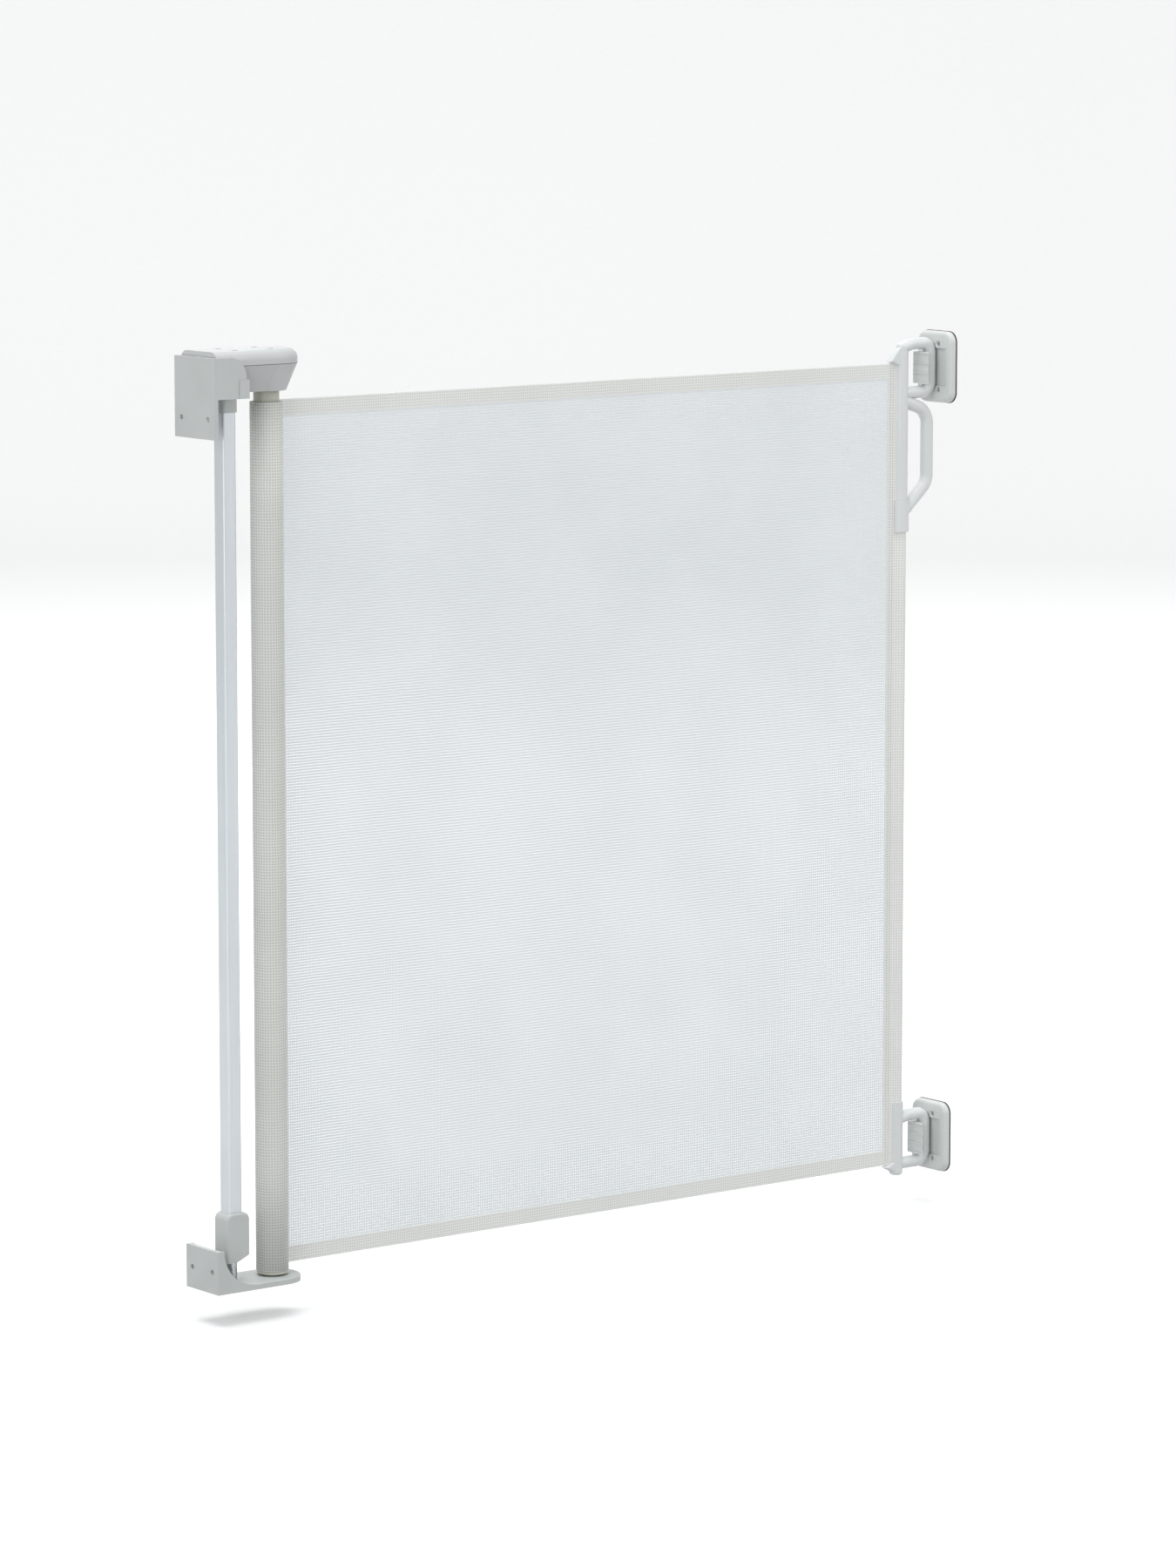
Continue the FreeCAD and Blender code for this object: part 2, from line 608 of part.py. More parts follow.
def lock_button():
    """Ribbed thumb piece on the slanted back of the housing."""
    bottom = STEM_BOTTOM - 4.0
    top = bottom + BUTTON_HEIGHT
    x0 = STEM_X + STEM_LENGTH / 2 - BUTTON_LENGTH / 2
    near = GAP + 0.2
    corners = [
        vec(x0, side_y(bottom) + near, bottom),
        vec(x0, side_y(top) + near, top),
        vec(x0, side_y(top) + near + BUTTON_DEPTH, top),
        vec(x0, side_y(bottom) + near + BUTTON_DEPTH, bottom),
    ]
    button = prism(corners, vec(BUTTON_LENGTH, 0, 0))
    button = fillet_where(button, 1.0, lambda p, e: p.y > side_y(p.z) + near + BUTTON_DEPTH - 0.1)
    button = button.cut(stem_form(FIT, 0))
    for number in (-1, 0, 1):
        x = STEM_X + STEM_LENGTH / 2 + number * 4.0
        groove = prism(
            [vec(x - 0.6, side_y(z) + near + BUTTON_DEPTH + out, z)
             for z, out in ((bottom - 1, -0.7), (top + 1, -0.7), (top + 1, 2), (bottom - 1, 2))],
            vec(1.2, 0, 0))
        button = button.cut(groove)
    return button


def lock_detent_spring():
    """Leaf spring beside the bolt, standing on the housing floor."""
    y0 = BOLT_WIDTH / 2 + GAP
    leaf = block(BOLT_BACK + 1, STEM_X - 2, y0, y0 + 0.7, FLOOR_TOP, BOLT_TOP - 0.5)
    foot = block(BOLT_BACK + 1, BOLT_BACK + 4, y0, y0 + 3.5, FLOOR_TOP, BOLT_TOP - 0.5)
    return leaf.fuse(foot)


# --- wall bracket and guide rail ---------------------------------------------------

def top_wall_bracket():
    """Saddle for the housing: back plate, floor and two cheeks with a curved front edge."""
    inner = HOUSING_RADIUS + GAP
    outer = inner + BRACKET_CHEEK
    top = LID_TOP_Z - BRACKET_TOP_BELOW_LID
    bottom = SADDLE_BOTTOM - BRACKET_APRON
    bracket = block(0, BRACKET_PLATE, -outer, outer, bottom, top)
    floor_top = SADDLE_BOTTOM + BRACKET_FLOOR
    bracket = bracket.fuse(block(0, BRACKET_REACH, -outer, outer, SADDLE_BOTTOM, floor_top))
    for y0 in (-outer, inner):
        bracket = bracket.fuse(cheek(y0, top))
        lug_y = y0 - LUG_PROUD if y0 < 0 else y0
        lug = block(
            BRACKET_REACH - LUG_BACK, BRACKET_REACH + LUG_FRONT,
            lug_y, lug_y + BRACKET_CHEEK + LUG_PROUD,
            SADDLE_BOTTOM, SADDLE_BOTTOM + LUG_HEIGHT)
        bracket = bracket.fuse(lug)
    for side in (-1, 1):
        y = side * BRACKET_SCREW_SPACING / 2
        z = (bottom + SADDLE_BOTTOM) / 2
        bracket = bracket.cut(cross_hole(-1, BRACKET_PLATE + 1, y, z, WALL_SCREW_RADIUS))
    return bracket.removeSplitter()


def cheek(y, top):
    """One side of the saddle."""
    shoulder = vec(BRACKET_REACH - CHEEK_CURVE, y, top)
    bend = vec(BRACKET_REACH - CHEEK_CURVE * 0.3, y, top - CHEEK_CURVE * 0.32)
    end = vec(BRACKET_REACH, y, top - CHEEK_CURVE)
    edges = [
        Part.makeLine(vec(0, y, SADDLE_BOTTOM), vec(0, y, top)),
        Part.makeLine(vec(0, y, top), shoulder),
        Part.Arc(shoulder, bend, end).toShape(),
        Part.makeLine(end, vec(BRACKET_REACH, y, SADDLE_BOTTOM)),
        Part.makeLine(vec(BRACKET_REACH, y, SADDLE_BOTTOM), vec(0, y, SADDLE_BOTTOM)),
    ]
    return Part.Face(Part.Wire(edges)).extrude(vec(0, BRACKET_CHEEK, 0))


def rail_box(grow, bottom, top):
    """The rail's rounded section, grown all round, between two heights."""
    half_x = RAIL_DEPTH / 2 + grow
    half_y = RAIL_WIDTH / 2 + grow
    shape = block(RAIL_X - half_x, RAIL_X + half_x, -half_y, half_y, bottom, top)
    return fillet_where(shape, RAIL_CORNER + grow, lambda p, e: abs(e.tangentAt(e.FirstParameter).z) > 0.99)


def guide_rail():
    """Hollow aluminium rail behind the roller."""
    return rail_box(0, RAIL_BOTTOM, RAIL_TOP).cut(
        rail_box(-RAIL_WALL, RAIL_BOTTOM - 1, RAIL_TOP + 1))


def rail_top_socket():
    """Socket under the saddle that takes the rail's upper end."""
    socket = rail_box(SOCKET_WALL + FIT, SADDLE_BOTTOM - SOCKET_LENGTH, SADDLE_BOTTOM)
    return socket.cut(rail_box(FIT, SADDLE_BOTTOM - SOCKET_LENGTH - 1, RAIL_TOP + FIT))


def rail_bottom_cap():
    """Moulded cap round the rail's lower end, with rounded shoulders and a slanted underside."""
    x0 = RAIL_X + CAP_SHIFT - CAP_DEPTH / 2
    x1 = x0 + CAP_DEPTH
    cap = block(x0, x1, -CAP_WIDTH / 2, CAP_WIDTH / 2, CAP_BOTTOM, CAP_TOP)
    cap = fillet_where(cap, CAP_SHOULDER, lambda p, e: p.z > CAP_TOP - 0.1 and abs(p.y) < 1)
    side = CAP_WIDTH / 2 - 0.01
    cap = fillet_where(cap, CAP_EDGE, lambda p, e: abs(p.y) > side and p.z > CAP_BOTTOM + 0.1)
    wedge = prism(
        [vec(x1 - CAP_SLANT_LENGTH, -CAP_WIDTH, CAP_BOTTOM - PAST),
         vec(x1 + PAST, -CAP_WIDTH, CAP_BOTTOM - PAST),
         vec(x1 + PAST, -CAP_WIDTH, CAP_BOTTOM + CAP_SLANT_RISE)],
        vec(0, 2 * CAP_WIDTH, 0))
    cap = cap.cut(wedge)
    cap = cap.cut(rail_box(FIT, RAIL_BOTTOM - FIT, CAP_TOP + 1))
    cap = cap.cut(cylinder(RAIL_X, 0, CAP_BOTTOM - PAST, CAP_BOTTOM + RAIL_PIN_IN_CAP, RAIL_PIN_RADIUS + FIT))
    return cap


def rail_foot_pin():
    """Pin that stands in the foot and carries the rail's cap."""
    return cylinder(RAIL_X, 0, PIN_SEAT + GAP, CAP_BOTTOM + RAIL_PIN_IN_CAP - GAP, RAIL_PIN_RADIUS)


# --- mesh --------------------------------------------------------------------------

def mesh_panel():
    """The stretched mesh between the roll and the pocket."""
    y0 = PANEL_Y - PANEL_THICKNESS / 2
    x1 = BAR_X - POCKET_RADIUS - GAP
    return block(AXIS_X, x1, y0, y0 + PANEL_THICKNESS, MESH_BOTTOM, MESH_TOP)


def mesh_pocket():
    """The mesh folded and sewn round the latch bar."""
    return ring(BAR_X, PANEL_Y, MESH_BOTTOM, MESH_TOP, POCKET_RADIUS, BAR_RADIUS + FIT)


# --- latch bar and its mouldings ---------------------------------------------------

def latch_bar():
    """Tube that stiffens the mesh's free edge."""
    bottom = MESH_BOTTOM - SLEEVE_PAST_MESH + 4
    top = MESH_TOP + SLEEVE_PAST_MESH - 4
    return ring(BAR_X, PANEL_Y, bottom, top, BAR_RADIUS, BAR_RADIUS - BAR_WALL)


def loop(z):
    """D loop of round rod on the side of a sleeve, its top arm a low arch."""
    corners = [
        vec(BAR_X, PANEL_Y, z + LOOP_HALF_HEIGHT - LOOP_SAG),
        vec(BAR_X + LOOP_CROWN, PANEL_Y, z + LOOP_HALF_HEIGHT),
        vec(LOOP_X, PANEL_Y, z + LOOP_HALF_HEIGHT),
        vec(LOOP_X, PANEL_Y, z - LOOP_HALF_HEIGHT),
        vec(BAR_X, PANEL_Y, z - LOOP_HALF_HEIGHT),
    ]
    return rod(corners, LOOP_CORNER, ROD_RADIUS)


def bar_room(bottom, top):
    """The space inside a sleeve: the bar past the mesh, the pocket along it."""
    room = cylinder(BAR_X, PANEL_Y, bottom, top, BAR_RADIUS + FIT)
    low = max(bottom, MESH_BOTTOM - FIT)
    high = min(top, MESH_TOP + FIT)
    room = room.fuse(cylinder(BAR_X, PANEL_Y, low, high, POCKET_RADIUS + FIT))
    slot = block(
        BAR_X - 3 * SLEEVE_RADIUS, BAR_X,
        PANEL_Y - PANEL_THICKNESS / 2 - GAP, PANEL_Y + PANEL_THICKNESS / 2 + GAP, low, high)
    return room.fuse(slot)


def nose(tip_z, root_z, crown_z):
    """Fin that runs from the inboard tip beside the mesh up to the end of the sleeve."""
    tip = vec(BAR_X - NOSE_REACH, 0, tip_z)
    flank = vec(BAR_X - NOSE_REACH * NOSE_FULLNESS, 0, tip_z + (crown_z - tip_z) * NOSE_FULLNESS)
    crown = vec(BAR_X, 0, crown_z)
    edges = [
        Part.Arc(tip, flank, crown).toShape(),
        Part.makeLine(crown, vec(BAR_X, 0, root_z)),
        Part.makeLine(vec(BAR_X, 0, root_z), tip),
    ]
    fin = Part.Face(Part.Wire(edges)).extrude(vec(0, NOSE_WIDTH, 0))
    fin.translate(vec(0, PANEL_Y - NOSE_WIDTH / 2, 0))
    return fillet_where(fin, 2.0, lambda p, e: p.x < BAR_X - 1 and abs(p.y - PANEL_Y) > NOSE_WIDTH / 2 - 0.1)


def top_latch_moulding():
    """Sleeve with nose, D loop, grab handle and lower collar, in one moulding."""
    bottom = MESH_TOP - TOP_SLEEVE_BELOW
    top = MESH_TOP + SLEEVE_PAST_MESH
    crown = TOP_LOOP_Z + LOOP_HALF_HEIGHT - LOOP_SAG + ROD_RADIUS
    collar_radius = SLEEVE_RADIUS + COLLAR_STEP
    body = cylinder(BAR_X, PANEL_Y, bottom, top + 1, SLEEVE_RADIUS)
    body = body.fuse(cylinder(BAR_X, PANEL_Y, bottom, bottom + TOP_COLLAR_LENGTH, collar_radius))
    body = body.fuse(Part.makeSphere(ROD_RADIUS, vec(BAR_X, PANEL_Y, crown - ROD_RADIUS)))
    body = body.fuse(cylinder(BAR_X, PANEL_Y, top - 1, crown - ROD_RADIUS, ROD_RADIUS))
    body = body.fuse(nose(MESH_TOP + 2, MESH_TOP - NOSE_OVERLAP, crown - 0.5))
    body = body.fuse(loop(TOP_LOOP_Z))
    body = body.fuse(grab_handle())
    return body.cut(bar_room(bottom - 1, top - 3)).removeSplitter()


def grab_handle():
    """Bow of round rod below the loop."""
    high = MESH_TOP - HANDLE_TOP_BELOW
    low = MESH_TOP - HANDLE_BOTTOM_BELOW
    corners = [
        vec(BAR_X, PANEL_Y, high + 4),
        vec(BAR_X + HANDLE_REACH, PANEL_Y, high - HANDLE_TOP_SLANT),
        vec(BAR_X + HANDLE_REACH, PANEL_Y, low + HANDLE_BOTTOM_SLANT),
        vec(BAR_X, PANEL_Y, low - 4),
    ]
    return rod(corners, HANDLE_CORNER, HANDLE_ROD_RADIUS)


def bottom_latch_moulding():
    """Sleeve with nose and D loop at the lower end of the bar."""
    bottom = MESH_BOTTOM - SLEEVE_PAST_MESH
    top = MESH_BOTTOM + BOTTOM_SLEEVE_ABOVE
    body = cylinder(BAR_X, PANEL_Y, bottom, top, SLEEVE_RADIUS)
    body = fillet_where(body, 3.0, lambda p, e: p.z < bottom + 0.1)
    body = body.fuse(nose(MESH_BOTTOM - 2, MESH_BOTTOM + NOSE_OVERLAP, bottom + 1.5))
    body = body.fuse(loop(BOTTOM_LOOP_Z))
    return body.cut(bar_room(bottom + 3, top + 1)).removeSplitter()


def bar_screw_places():
    """Heights of the two screws that fix the mouldings on the bar."""
    return (MESH_TOP - TOP_SLEEVE_BELOW + TOP_COLLAR_LENGTH / 2, MESH_BOTTOM + BOTTOM_SLEEVE_ABOVE - 12)


# --- wall catches ------------------------------------------------------------------

def catch_outline(x, z, grow):
    """Rounded rectangle of the catch plate, upright on the wall."""
    half_y = CATCH_WIDTH / 2 + grow
    half_z = CATCH_HEIGHT / 2 + grow
    plate = block(x, x + 1, PANEL_Y - half_y, PANEL_Y + half_y, z - half_z, z + half_z)
    plate = fillet_where(plate, CATCH_CORNER, lambda p, e: abs(e.Length - 1) < 1e-6)
    return plate


def catch_slab(x0, x1, z, grow):
    """The catch plate's outline between two planes."""
    thin = catch_outline(x0, z, grow)
    face = min(thin.Faces, key=lambda f: f.CenterOfMass.x)
    return face.extrude(vec(x1 - x0, 0, 0))


def catch_screw_heights(z):
    """Heights of a catch's two screws."""
    return (z - CATCH_SCREW_SPACING / 2, z + CATCH_SCREW_SPACING / 2)


def catch_pad(z):
    """Thin black pad between the catch and the wall."""
    front = WALL_X - PAD_THICKNESS
    hole_radius = CATCH_HOLE_RADIUS + GAP
    pad = catch_slab(front, WALL_X, z, PAD_MARGIN)
    for hole_z in catch_screw_heights(z):
        pad = pad.cut(cross_hole(front - PAST, WALL_X + PAST, CATCH_SCREW_Y, hole_z, hole_radius))
    return pad


def catch(z):
    """Domed wall plate with two sunk screw holes, a shallow recess and the hook claw."""
    back = WALL_X - PAD_THICKNESS
    front = back - CATCH_THICKNESS
    plate = catch_slab(front, back, z, 0)
    plate = fillet_where(plate, CATCH_ROUND, lambda p, e: p.x < front + 0.01)
    half = CATCH_RECESS_HEIGHT / 2
    recess_floor = front + CATCH_RECESS_DEPTH
    recess_back = PANEL_Y + CATCH_RECESS_HALF_WIDTH
    recess_front = PANEL_Y - CATCH_RECESS_HALF_WIDTH
    ramp_end = recess_front - CATCH_RECESS_RAMP
    recess = prism(
        [vec(front - PAST, recess_back, z - half), vec(recess_floor, recess_back, z - half),
         vec(recess_floor, recess_front, z - half), vec(front, ramp_end, z - half),
         vec(front - PAST, ramp_end, z - half)],
        vec(0, 0, CATCH_RECESS_HEIGHT))
    plate = plate.cut(recess)
    for hole_z in catch_screw_heights(z):
        plate = plate.cut(cross_hole(front - PAST, back + PAST, CATCH_SCREW_Y, hole_z, CATCH_HOLE_RADIUS))
        sink = Part.makeCone(
            CATCH_SINK_RADIUS, CATCH_HOLE_RADIUS, CATCH_SINK_RADIUS - CATCH_HOLE_RADIUS,
            vec(front, CATCH_SCREW_Y, hole_z), vec(1, 0, 0))
        plate = plate.cut(sink)
    return plate.fuse(claw(z, recess_floor + 1)).removeSplitter()


def claw(z, root_x):
    """Hook that passes behind the loop's upright and bears on its inboard side."""
    clear = ROD_RADIUS + GAP
    draft = math.radians(CLAW_DRAFT)
    seat = vec(-clear * math.cos(draft), clear * math.sin(draft), 0)
    outer = -CLAW_REACH
    tip_y = -CLAW_TIP
    lean = (seat.y - tip_y) * math.tan(draft)
    back = clear + CLAW_BACK
    mid = math.radians(135 - CLAW_DRAFT / 2)
    crook = vec(clear * math.cos(mid), clear * math.sin(mid), 0)
    edges = [
        Part.makeLine(vec(root_x - LOOP_X, clear, 0), vec(0, clear, 0)),
        Part.Arc(vec(0, clear, 0), crook, seat).toShape(),
        Part.makeLine(seat, vec(seat.x - lean, tip_y, 0)),
        Part.makeLine(vec(seat.x - lean, tip_y, 0), vec(outer, tip_y, 0)),
        Part.makeLine(vec(outer, tip_y, 0), vec(outer, back - CLAW_ROUND, 0)),
        Part.Arc(
            vec(outer, back - CLAW_ROUND, 0),
            vec(outer + CLAW_ROUND * (1 - math.sqrt(0.5)), back - CLAW_ROUND * (1 - math.sqrt(0.5)), 0),
            vec(outer + CLAW_ROUND, back, 0)).toShape(),
        Part.makeLine(vec(outer + CLAW_ROUND, back, 0), vec(root_x - LOOP_X, back, 0)),
        Part.makeLine(vec(root_x - LOOP_X, back, 0), vec(root_x - LOOP_X, clear, 0)),
    ]
    hook = Part.Face(Part.Wire(edges)).extrude(UP * CLAW_HEIGHT)
    hook.translate(vec(LOOP_X, PANEL_Y, z - CLAW_HEIGHT / 2))
    bottom = z - CLAW_HEIGHT / 2
    land = (CLAW_HEIGHT - RIB_COUNT * RIB_WIDTH) / (RIB_COUNT - 1)
    for number in range(RIB_COUNT - 1):
        low = bottom + RIB_WIDTH + number * (land + RIB_WIDTH)
        side = block(
            LOOP_X + outer - PAST, LOOP_X + outer + RIB_HEIGHT,
            PANEL_Y + tip_y - PAST, PANEL_Y + back + PAST, low, low + land)
        tip = block(
            LOOP_X + outer - PAST, LOOP_X + seat.x,
            PANEL_Y + tip_y - PAST, PANEL_Y + tip_y + RIB_HEIGHT, low, low + land)
        hook = hook.cut(side).cut(tip)
    return hook


# --- screws through the mouldings --------------------------------------------------

def with_screw_holes(moulding):
    """Cut the fixing screws' holes from the back of a moulding."""
    for z in bar_screw_places():
        start = vec(BAR_X, PANEL_Y + 1, z)
        hole = Part.makeCylinder(SCREW_SHANK + FIT, 2 * SLEEVE_RADIUS, start, vec(0, 1, 0))
        moulding = moulding.cut(hole)
    return moulding


def bar_screws():
    """Two short screws from the back of the sleeves into the bar."""
    screws = []
    surfaces = (SLEEVE_RADIUS + COLLAR_STEP, SLEEVE_RADIUS)
    for z, surface in zip(bar_screw_places(), surfaces):
        start = BAR_RADIUS - BAR_WALL - 1.0
        shank = Part.makeCylinder(
            SCREW_SHANK, surface - start + 0.5, vec(BAR_X, PANEL_Y + start, z), vec(0, 1, 0))
        seat = PANEL_Y + surface + 0.1
        head = Part.makeCylinder(SCREW_HEAD, BAR_SCREW_CROWN, vec(BAR_X, seat, z), vec(0, 1, 0))
        drive = cross_drive(vec(BAR_X, seat + BAR_SCREW_CROWN, z), vec(0, 1, 0))
        screws.append(shank.fuse(head).cut(drive))
    return Part.makeCompound(screws)


# --- build -------------------------------------------------------------------------

def build_all():
    """Every piece of the gate, by node name."""
    return {
        "foot_bracket": foot_bracket(),
        "foot_bush": foot_bush(),
        "spring_mandrel": spring_mandrel(),
        "torsion_spring": torsion_spring(),
        "spring_drive_plug": spring_drive_plug(),
        "roller_tube": roller_tube(),
        "mesh_retaining_strip": mesh_retaining_strip(),
        "mesh_roll": mesh_roll(),
        "roller_bottom_plug": roller_bottom_plug(),
        "roller_top_plug": roller_top_plug(),
        "top_bush": top_bush(),
        "lock_wheel": lock_wheel(),
        "housing_body": housing_body(),
        "housing_lid": housing_lid(),
        "lid_screws": lid_screws(),
        "top_spindle": top_spindle(),
        "lock_bolt": lock_bolt(),
        "lock_button": lock_button(),
        "lock_detent_spring": lock_detent_spring(),
        "top_wall_bracket": top_wall_bracket(),
        "guide_rail": guide_rail(),
        "rail_top_socket": rail_top_socket(),
        "rail_bottom_cap": rail_bottom_cap(),
        "rail_foot_pin": rail_foot_pin(),
        "mesh_panel": mesh_panel(),
        "mesh_pocket": with_screw_holes(mesh_pocket()),
        "latch_bar": with_screw_holes(latch_bar()),
        "top_latch_moulding": with_screw_holes(top_latch_moulding()),
        "bottom_latch_moulding": with_screw_holes(bottom_latch_moulding()),
        "bar_screws": bar_screws(),
        "catch_top": catch(TOP_LOOP_Z),
        "catch_bottom": catch(BOTTOM_LOOP_Z),
        "catch_pad_top": catch_pad(TOP_LOOP_Z),
        "catch_pad_bottom": catch_pad(BOTTOM_LOOP_Z),
    }


def main():
    """Write one STEP file for each piece."""
    os.makedirs("parts", exist_ok=True)
    for name, shape in build_all().items():
        shape.exportStep(os.path.join("parts", name + ".step"))
        solids = len(shape.Solids)
        print(name, solids, "solids", "valid" if shape.isValid() else "INVALID", round(shape.Volume, 1))


main()
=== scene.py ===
import json
import logging
import math
from dataclasses import dataclass, field
from enum import Enum
from typing import Callable, Iterable, Sequence

import bmesh
import bpy
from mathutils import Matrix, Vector


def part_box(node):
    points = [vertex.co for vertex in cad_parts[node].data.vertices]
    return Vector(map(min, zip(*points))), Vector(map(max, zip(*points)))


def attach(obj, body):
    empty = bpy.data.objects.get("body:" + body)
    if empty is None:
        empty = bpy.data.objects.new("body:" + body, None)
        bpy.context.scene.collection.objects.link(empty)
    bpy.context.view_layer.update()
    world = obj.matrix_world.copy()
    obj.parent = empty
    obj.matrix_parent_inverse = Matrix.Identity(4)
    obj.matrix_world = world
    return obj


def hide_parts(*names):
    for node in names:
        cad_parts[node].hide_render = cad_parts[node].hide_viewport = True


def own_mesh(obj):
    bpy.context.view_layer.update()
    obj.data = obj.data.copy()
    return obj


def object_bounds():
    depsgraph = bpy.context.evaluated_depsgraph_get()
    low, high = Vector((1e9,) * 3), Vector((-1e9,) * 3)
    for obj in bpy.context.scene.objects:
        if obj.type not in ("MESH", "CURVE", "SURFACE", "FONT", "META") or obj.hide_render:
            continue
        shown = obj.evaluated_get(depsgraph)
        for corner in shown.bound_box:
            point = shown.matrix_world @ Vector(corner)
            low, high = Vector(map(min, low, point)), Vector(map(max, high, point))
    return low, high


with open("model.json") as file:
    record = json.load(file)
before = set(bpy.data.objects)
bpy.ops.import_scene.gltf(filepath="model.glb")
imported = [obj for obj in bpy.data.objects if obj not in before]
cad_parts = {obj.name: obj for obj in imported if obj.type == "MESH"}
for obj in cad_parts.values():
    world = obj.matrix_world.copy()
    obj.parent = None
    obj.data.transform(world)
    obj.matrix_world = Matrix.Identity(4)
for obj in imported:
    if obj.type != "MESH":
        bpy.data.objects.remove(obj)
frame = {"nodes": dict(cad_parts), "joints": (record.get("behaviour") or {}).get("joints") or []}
CAD_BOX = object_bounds()

LOG = logging.getLogger("safety_gate")
MM = 0.001
THREAD_RADIUS = 0.32 * MM
Socket = bpy.types.NodeSocket
Point = tuple[float, float, float]


# --- colour and node helpers ---------------------------------------------------------------------


def linear(hex_colour: str) -> tuple[float, float, float, float]:
    """Turn an sRGB hex colour into linear RGBA.

    Args:
        hex_colour: six hex digits, with or without a leading hash.

    Returns:
        Linear red, green, blue and an alpha of 1.
    """
    digits = hex_colour.lstrip("#")
    channels = [int(digits[i:i + 2], 16) / 255 for i in (0, 2, 4)]
    values = [c / 12.92 if c <= 0.04045 else ((c + 0.055) / 1.055) ** 2.4 for c in channels]
    return (values[0], values[1], values[2], 1.0)


@dataclass
class Graph:
    """A material's node tree with one way to add to it."""

    material: bpy.types.Material

    @classmethod
    def new(cls, name: str) -> "Graph":
        """Start an empty node material.

        Args:
            name: the material's name.

        Returns:
            The graph of the new material.
        """
        material = bpy.data.materials.new(name)
        material.use_nodes = True
        material.node_tree.nodes.clear()
        return cls(material)

    def add(self, kind: str, settings: dict | None = None, **inputs: object) -> bpy.types.Node:
        """Add a node with its settings and links.

        Args:
            kind: the node's type without its ShaderNode prefix.
            settings: properties of the node itself.
            inputs: socket values or links by socket name, spaces as underscores; in0, in1 and
                so on name a socket by its number.

        Returns:
            The new node.
        """
        tree = self.material.node_tree
        node = tree.nodes.new("ShaderNode" + kind)
        for key, value in (settings or {}).items():
            setattr(node, key, value)
        for key, value in inputs.items():
            numbered = key[:2] == "in" and key[2:].isdigit()
            socket = node.inputs[int(key[2:]) if numbered else key.replace("_", " ")]
            if isinstance(value, bpy.types.NodeSocket):
                tree.links.new(value, socket)
            else:
                socket.default_value = value
        return node

    def math(self, operation: str, *values: float | Socket) -> Socket:
        """Add a Math node.

        Args:
            operation: what it works out.
            values: its inputs, in order.

        Returns:
            Its output.
        """
        inputs = {f"in{number}": value for number, value in enumerate(values)}
        return self.add("Math", {"operation": operation}, **inputs).outputs[0]

    def ramp(self, value: Socket, low: float, high: float, to_low: float, to_high: float) -> Socket:
        """Map a value smoothly from one range to another.

        Args:
            value: the socket to map.
            low: where the first range begins.
            high: where it ends.
            to_low: the result at low and below.
            to_high: the result at high and above.

        Returns:
            The mapped value.
        """
        node = self.add(
            "MapRange", {"interpolation_type": "SMOOTHSTEP"},
            Value=value, From_Min=low, From_Max=high, To_Min=to_low, To_Max=to_high)
        return node.outputs[0]

    def blend(self, factor: float | Socket, first: object, second: object) -> Socket:
        """Mix two colours.

        Args:
            factor: the share of the second one.
            first: a colour or a socket.
            second: a colour or a socket.

        Returns:
            The mixed colour.
        """
        node = self.add("Mix", {"data_type": "RGBA"}, in0=factor, in6=first, in7=second)
        return node.outputs[2]

    def finish(self, shader: Socket) -> bpy.types.Material:
        """Link the last shader to the output and return the material."""
        self.add("OutputMaterial", Surface=shader)
        return self.material


# --- finishes ------------------------------------------------------------------------------------


